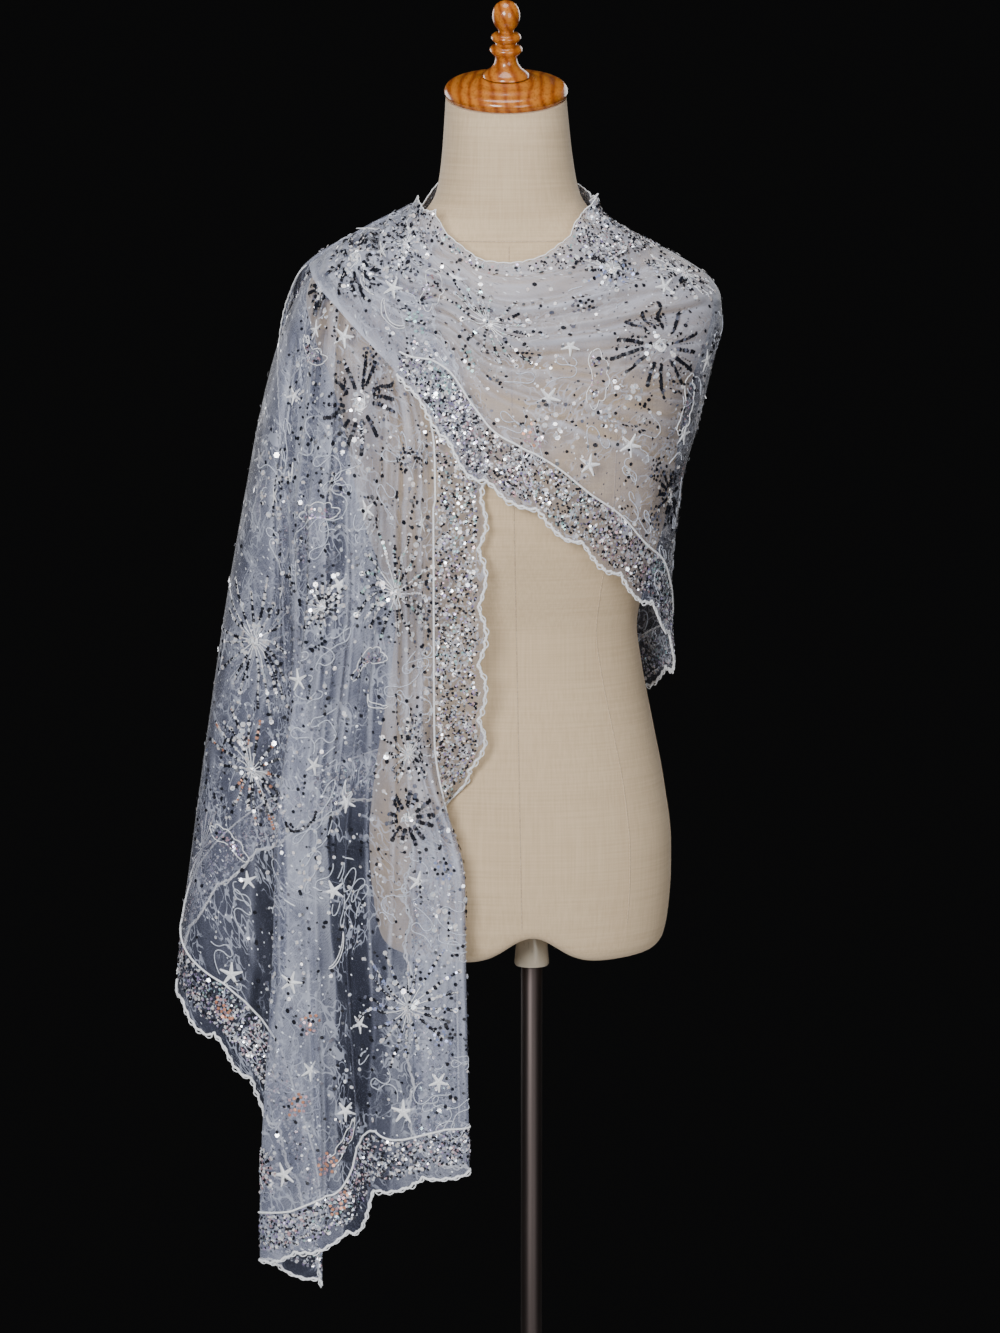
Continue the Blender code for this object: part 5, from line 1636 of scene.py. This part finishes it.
on_fall.each(
    on_fall.cluster,
    (4.7, 1.237, [SMOKE, SMOKE, GREY]), (2.6, 1.100, [SMOKE, GREY]), (3.9, 0.856, [SMOKE, BLUE]),
    (8.4, 0.705, [AMBER, ROSE, SMOKE]), (8.8, 0.628, [AMBER, ROSE, SMOKE]), (8.0, 0.570, [AMBER, ROSE]),
    (7.6, 0.532, [AMBER, AMBER, ROSE, SILVER]), (14.0, 0.706, [AMBER, ROSE]),
    (6.3, 1.330, [SMOKE, GREY]), (12.2, 1.120, [SMOKE, SILVER]), (4.4, 0.990, [WHITE, GREY]),
    (4.0, 0.700, [SMOKE, BLUE]),
)
on_fall.each(
    on_fall.sparkle,
    (3.6, 1.025), (14.2, 1.221), (3.9, 0.820), (5.0, 0.725), (13.8, 0.950), (14.1, 1.060),
    (4.2, 1.140), (7.4, 1.240), (6.0, 1.110), (11.6, 1.400), (8.1, 0.870),
)
for n in range(78):
    line = on_fall.between(3.0, 14.8)
    height = on_fall.between(max(float(fall_low(line)) + 0.06, 0.55), 1.40)
    length, heading = on_fall.between(0.06, 0.19), on_fall.one_of([1.57, 1.2, 2.0, 4.7])
    on_fall.wander(on_fall.place_at(line, height), length, heading)
for n in range(52):
    line, height = on_fall.between(2.4, 14.6), on_fall.between(0.80, 1.38)
    on_fall.bead_chain(on_fall.place_at(line, height), on_fall.between(0.012, 0.034), 1.57)
on_fall.dots((4, fall_row(0.89)), (fall_column(CORD_LINE + 0.2), fall_column(LAST_LINE)), 1500)
on_fall.finish("fall")

on_chest = Embroidery(chest, partial(wound_place, chest), 4)
on_chest.each(on_chest.dark_burst, (319, 0.35, 0.047), (412, 0.60, 0.040), (296, 0.70, 0.026))
on_chest.each(
    on_chest.light_burst,
    (364, 0.34, 0.048, SEA),
    (300, 0.16, 0.034, SILVER),
    (398, 0.24, 0.030, SILVER),
    (330, 0.12, 0.030, BLUE),
)
on_chest.each(
    on_chest.star,
    (347, 0.38), (315, 0.19), (325, 0.65), (339, 0.77), (296, 0.55), (389, 0.50), (352, 0.60),
    (290, 0.36), (404, 0.40), (408, 0.20), (436, 0.55), (372, 0.20),
)
on_chest.each(on_chest.cloud, (341, 0.48), (302, 0.48), (380, 0.36), same=[0.026])
on_chest.each(
    on_chest.cluster,
    (309, 0.66, [SMOKE, GREY]), (368, 0.62, [SMOKE, SEA, SILVER]), (356, 0.78, [AMBER, ROSE, SILVER]),
    (334, 0.60, [WHITE, SILVER]), (286, 0.30, [SMOKE, GREY]), (381, 0.62, [SMOKE, SEA]),
    (306, 0.78, [SMOKE, GREY]), (344, 0.22, [SMOKE, GREY]),
)
on_chest.crescent(on_chest.place_at(387, 0.62), 0.018, WHITE, 0.4)
on_chest.crescent(on_chest.place_at(398, 0.56), 0.016, WHITE, 0.7)
on_chest.each(
    on_chest.sparkle,
    (350, 0.74), (360, 0.30), (327, 0.50), (392, 0.44), (318, 0.36), (412, 0.60),
)
on_chest.strolls(40, (276, 446), (0.08, 0.84), (0.05, 0.14), [0.2, 3.3, 0.8])
for n in range(46):
    turn, down = on_chest.between(274, 440), on_chest.between(0.05, 0.85)
    heading = on_chest.one_of([1.57, 0.9, 2.2])
    on_chest.bead_chain(on_chest.place_at(turn, down), on_chest.between(0.010, 0.026), heading)
count = chest.points.shape[0] - 1
on_chest.dots((2, count - 2), (6, cord_at - 2), 760)
on_chest.finish("chest")

on_back = Embroidery(back, partial(wound_place, back), 6)
on_back.each(
    on_back.dark_burst,
    (146, 0.34, 0.040), (204, 0.36, 0.042), (256, 0.34, 0.038), (168, 0.82, 0.030),
)
on_back.each(
    on_back.light_burst,
    (120, 0.62, 0.044, SEA),
    (176, 0.62, 0.046, SILVER),
    (232, 0.62, 0.044, AMBER),
    (104, 0.84, 0.034, ROSE),
    (180, 0.20, 0.034, SEA),
    (126, 0.22, 0.034, SILVER),
    (230, 0.24, 0.036, BLUE),
)
for n in range(36):
    on_back.star(on_back.place_at(on_back.between(94, 266), on_back.between(0.12, 0.84)))
on_back.each(
    on_back.cloud,
    (134, 0.50), (162, 0.48), (190, 0.80), (218, 0.50), (246, 0.76), (112, 0.40),
    same=[0.024],
)
for turn, down in ((128, 0.78), (156, 0.70), (210, 0.80), (240, 0.46), (196, 0.52), (262, 0.56)):
    tones = on_back.one_of([[SMOKE, GREY], [AMBER, ROSE, SMOKE]])
    on_back.cluster(on_back.place_at(turn, down), tones)
    on_back.sparkle(on_back.place_at(turn + 8, down - 0.1))
on_back.strolls(80, (94, 266), (0.10, 0.84), (0.06, 0.19), [0.3, 3.3, 1.5])
count = back.points.shape[0] - 1
on_back.dots((2, count - 2), (6, cord_at - 2), 1150)
on_back.finish("back")

on_end = Embroidery(end, lambda down, across: (down * end_rows, across * end_columns), 8)
on_end.dark_burst(on_end.place_at(0.50, 0.45), 0.036)
on_end.light_burst(on_end.place_at(0.76, 0.25), 0.028, SEA)
for n in range(9):
    on_end.star(on_end.place_at(on_end.between(0.15, 0.84), on_end.between(0.1, 0.9)))
for n in range(22):
    on_end.wander(on_end.place_at(on_end.between(0.1, 0.8), on_end.between(0.1, 0.9)), 0.11, 1.6)
on_end.dots((4, END_BORDER_AT * end_rows - 1), (2, end_columns - 2), 160)
on_end.finish("end")
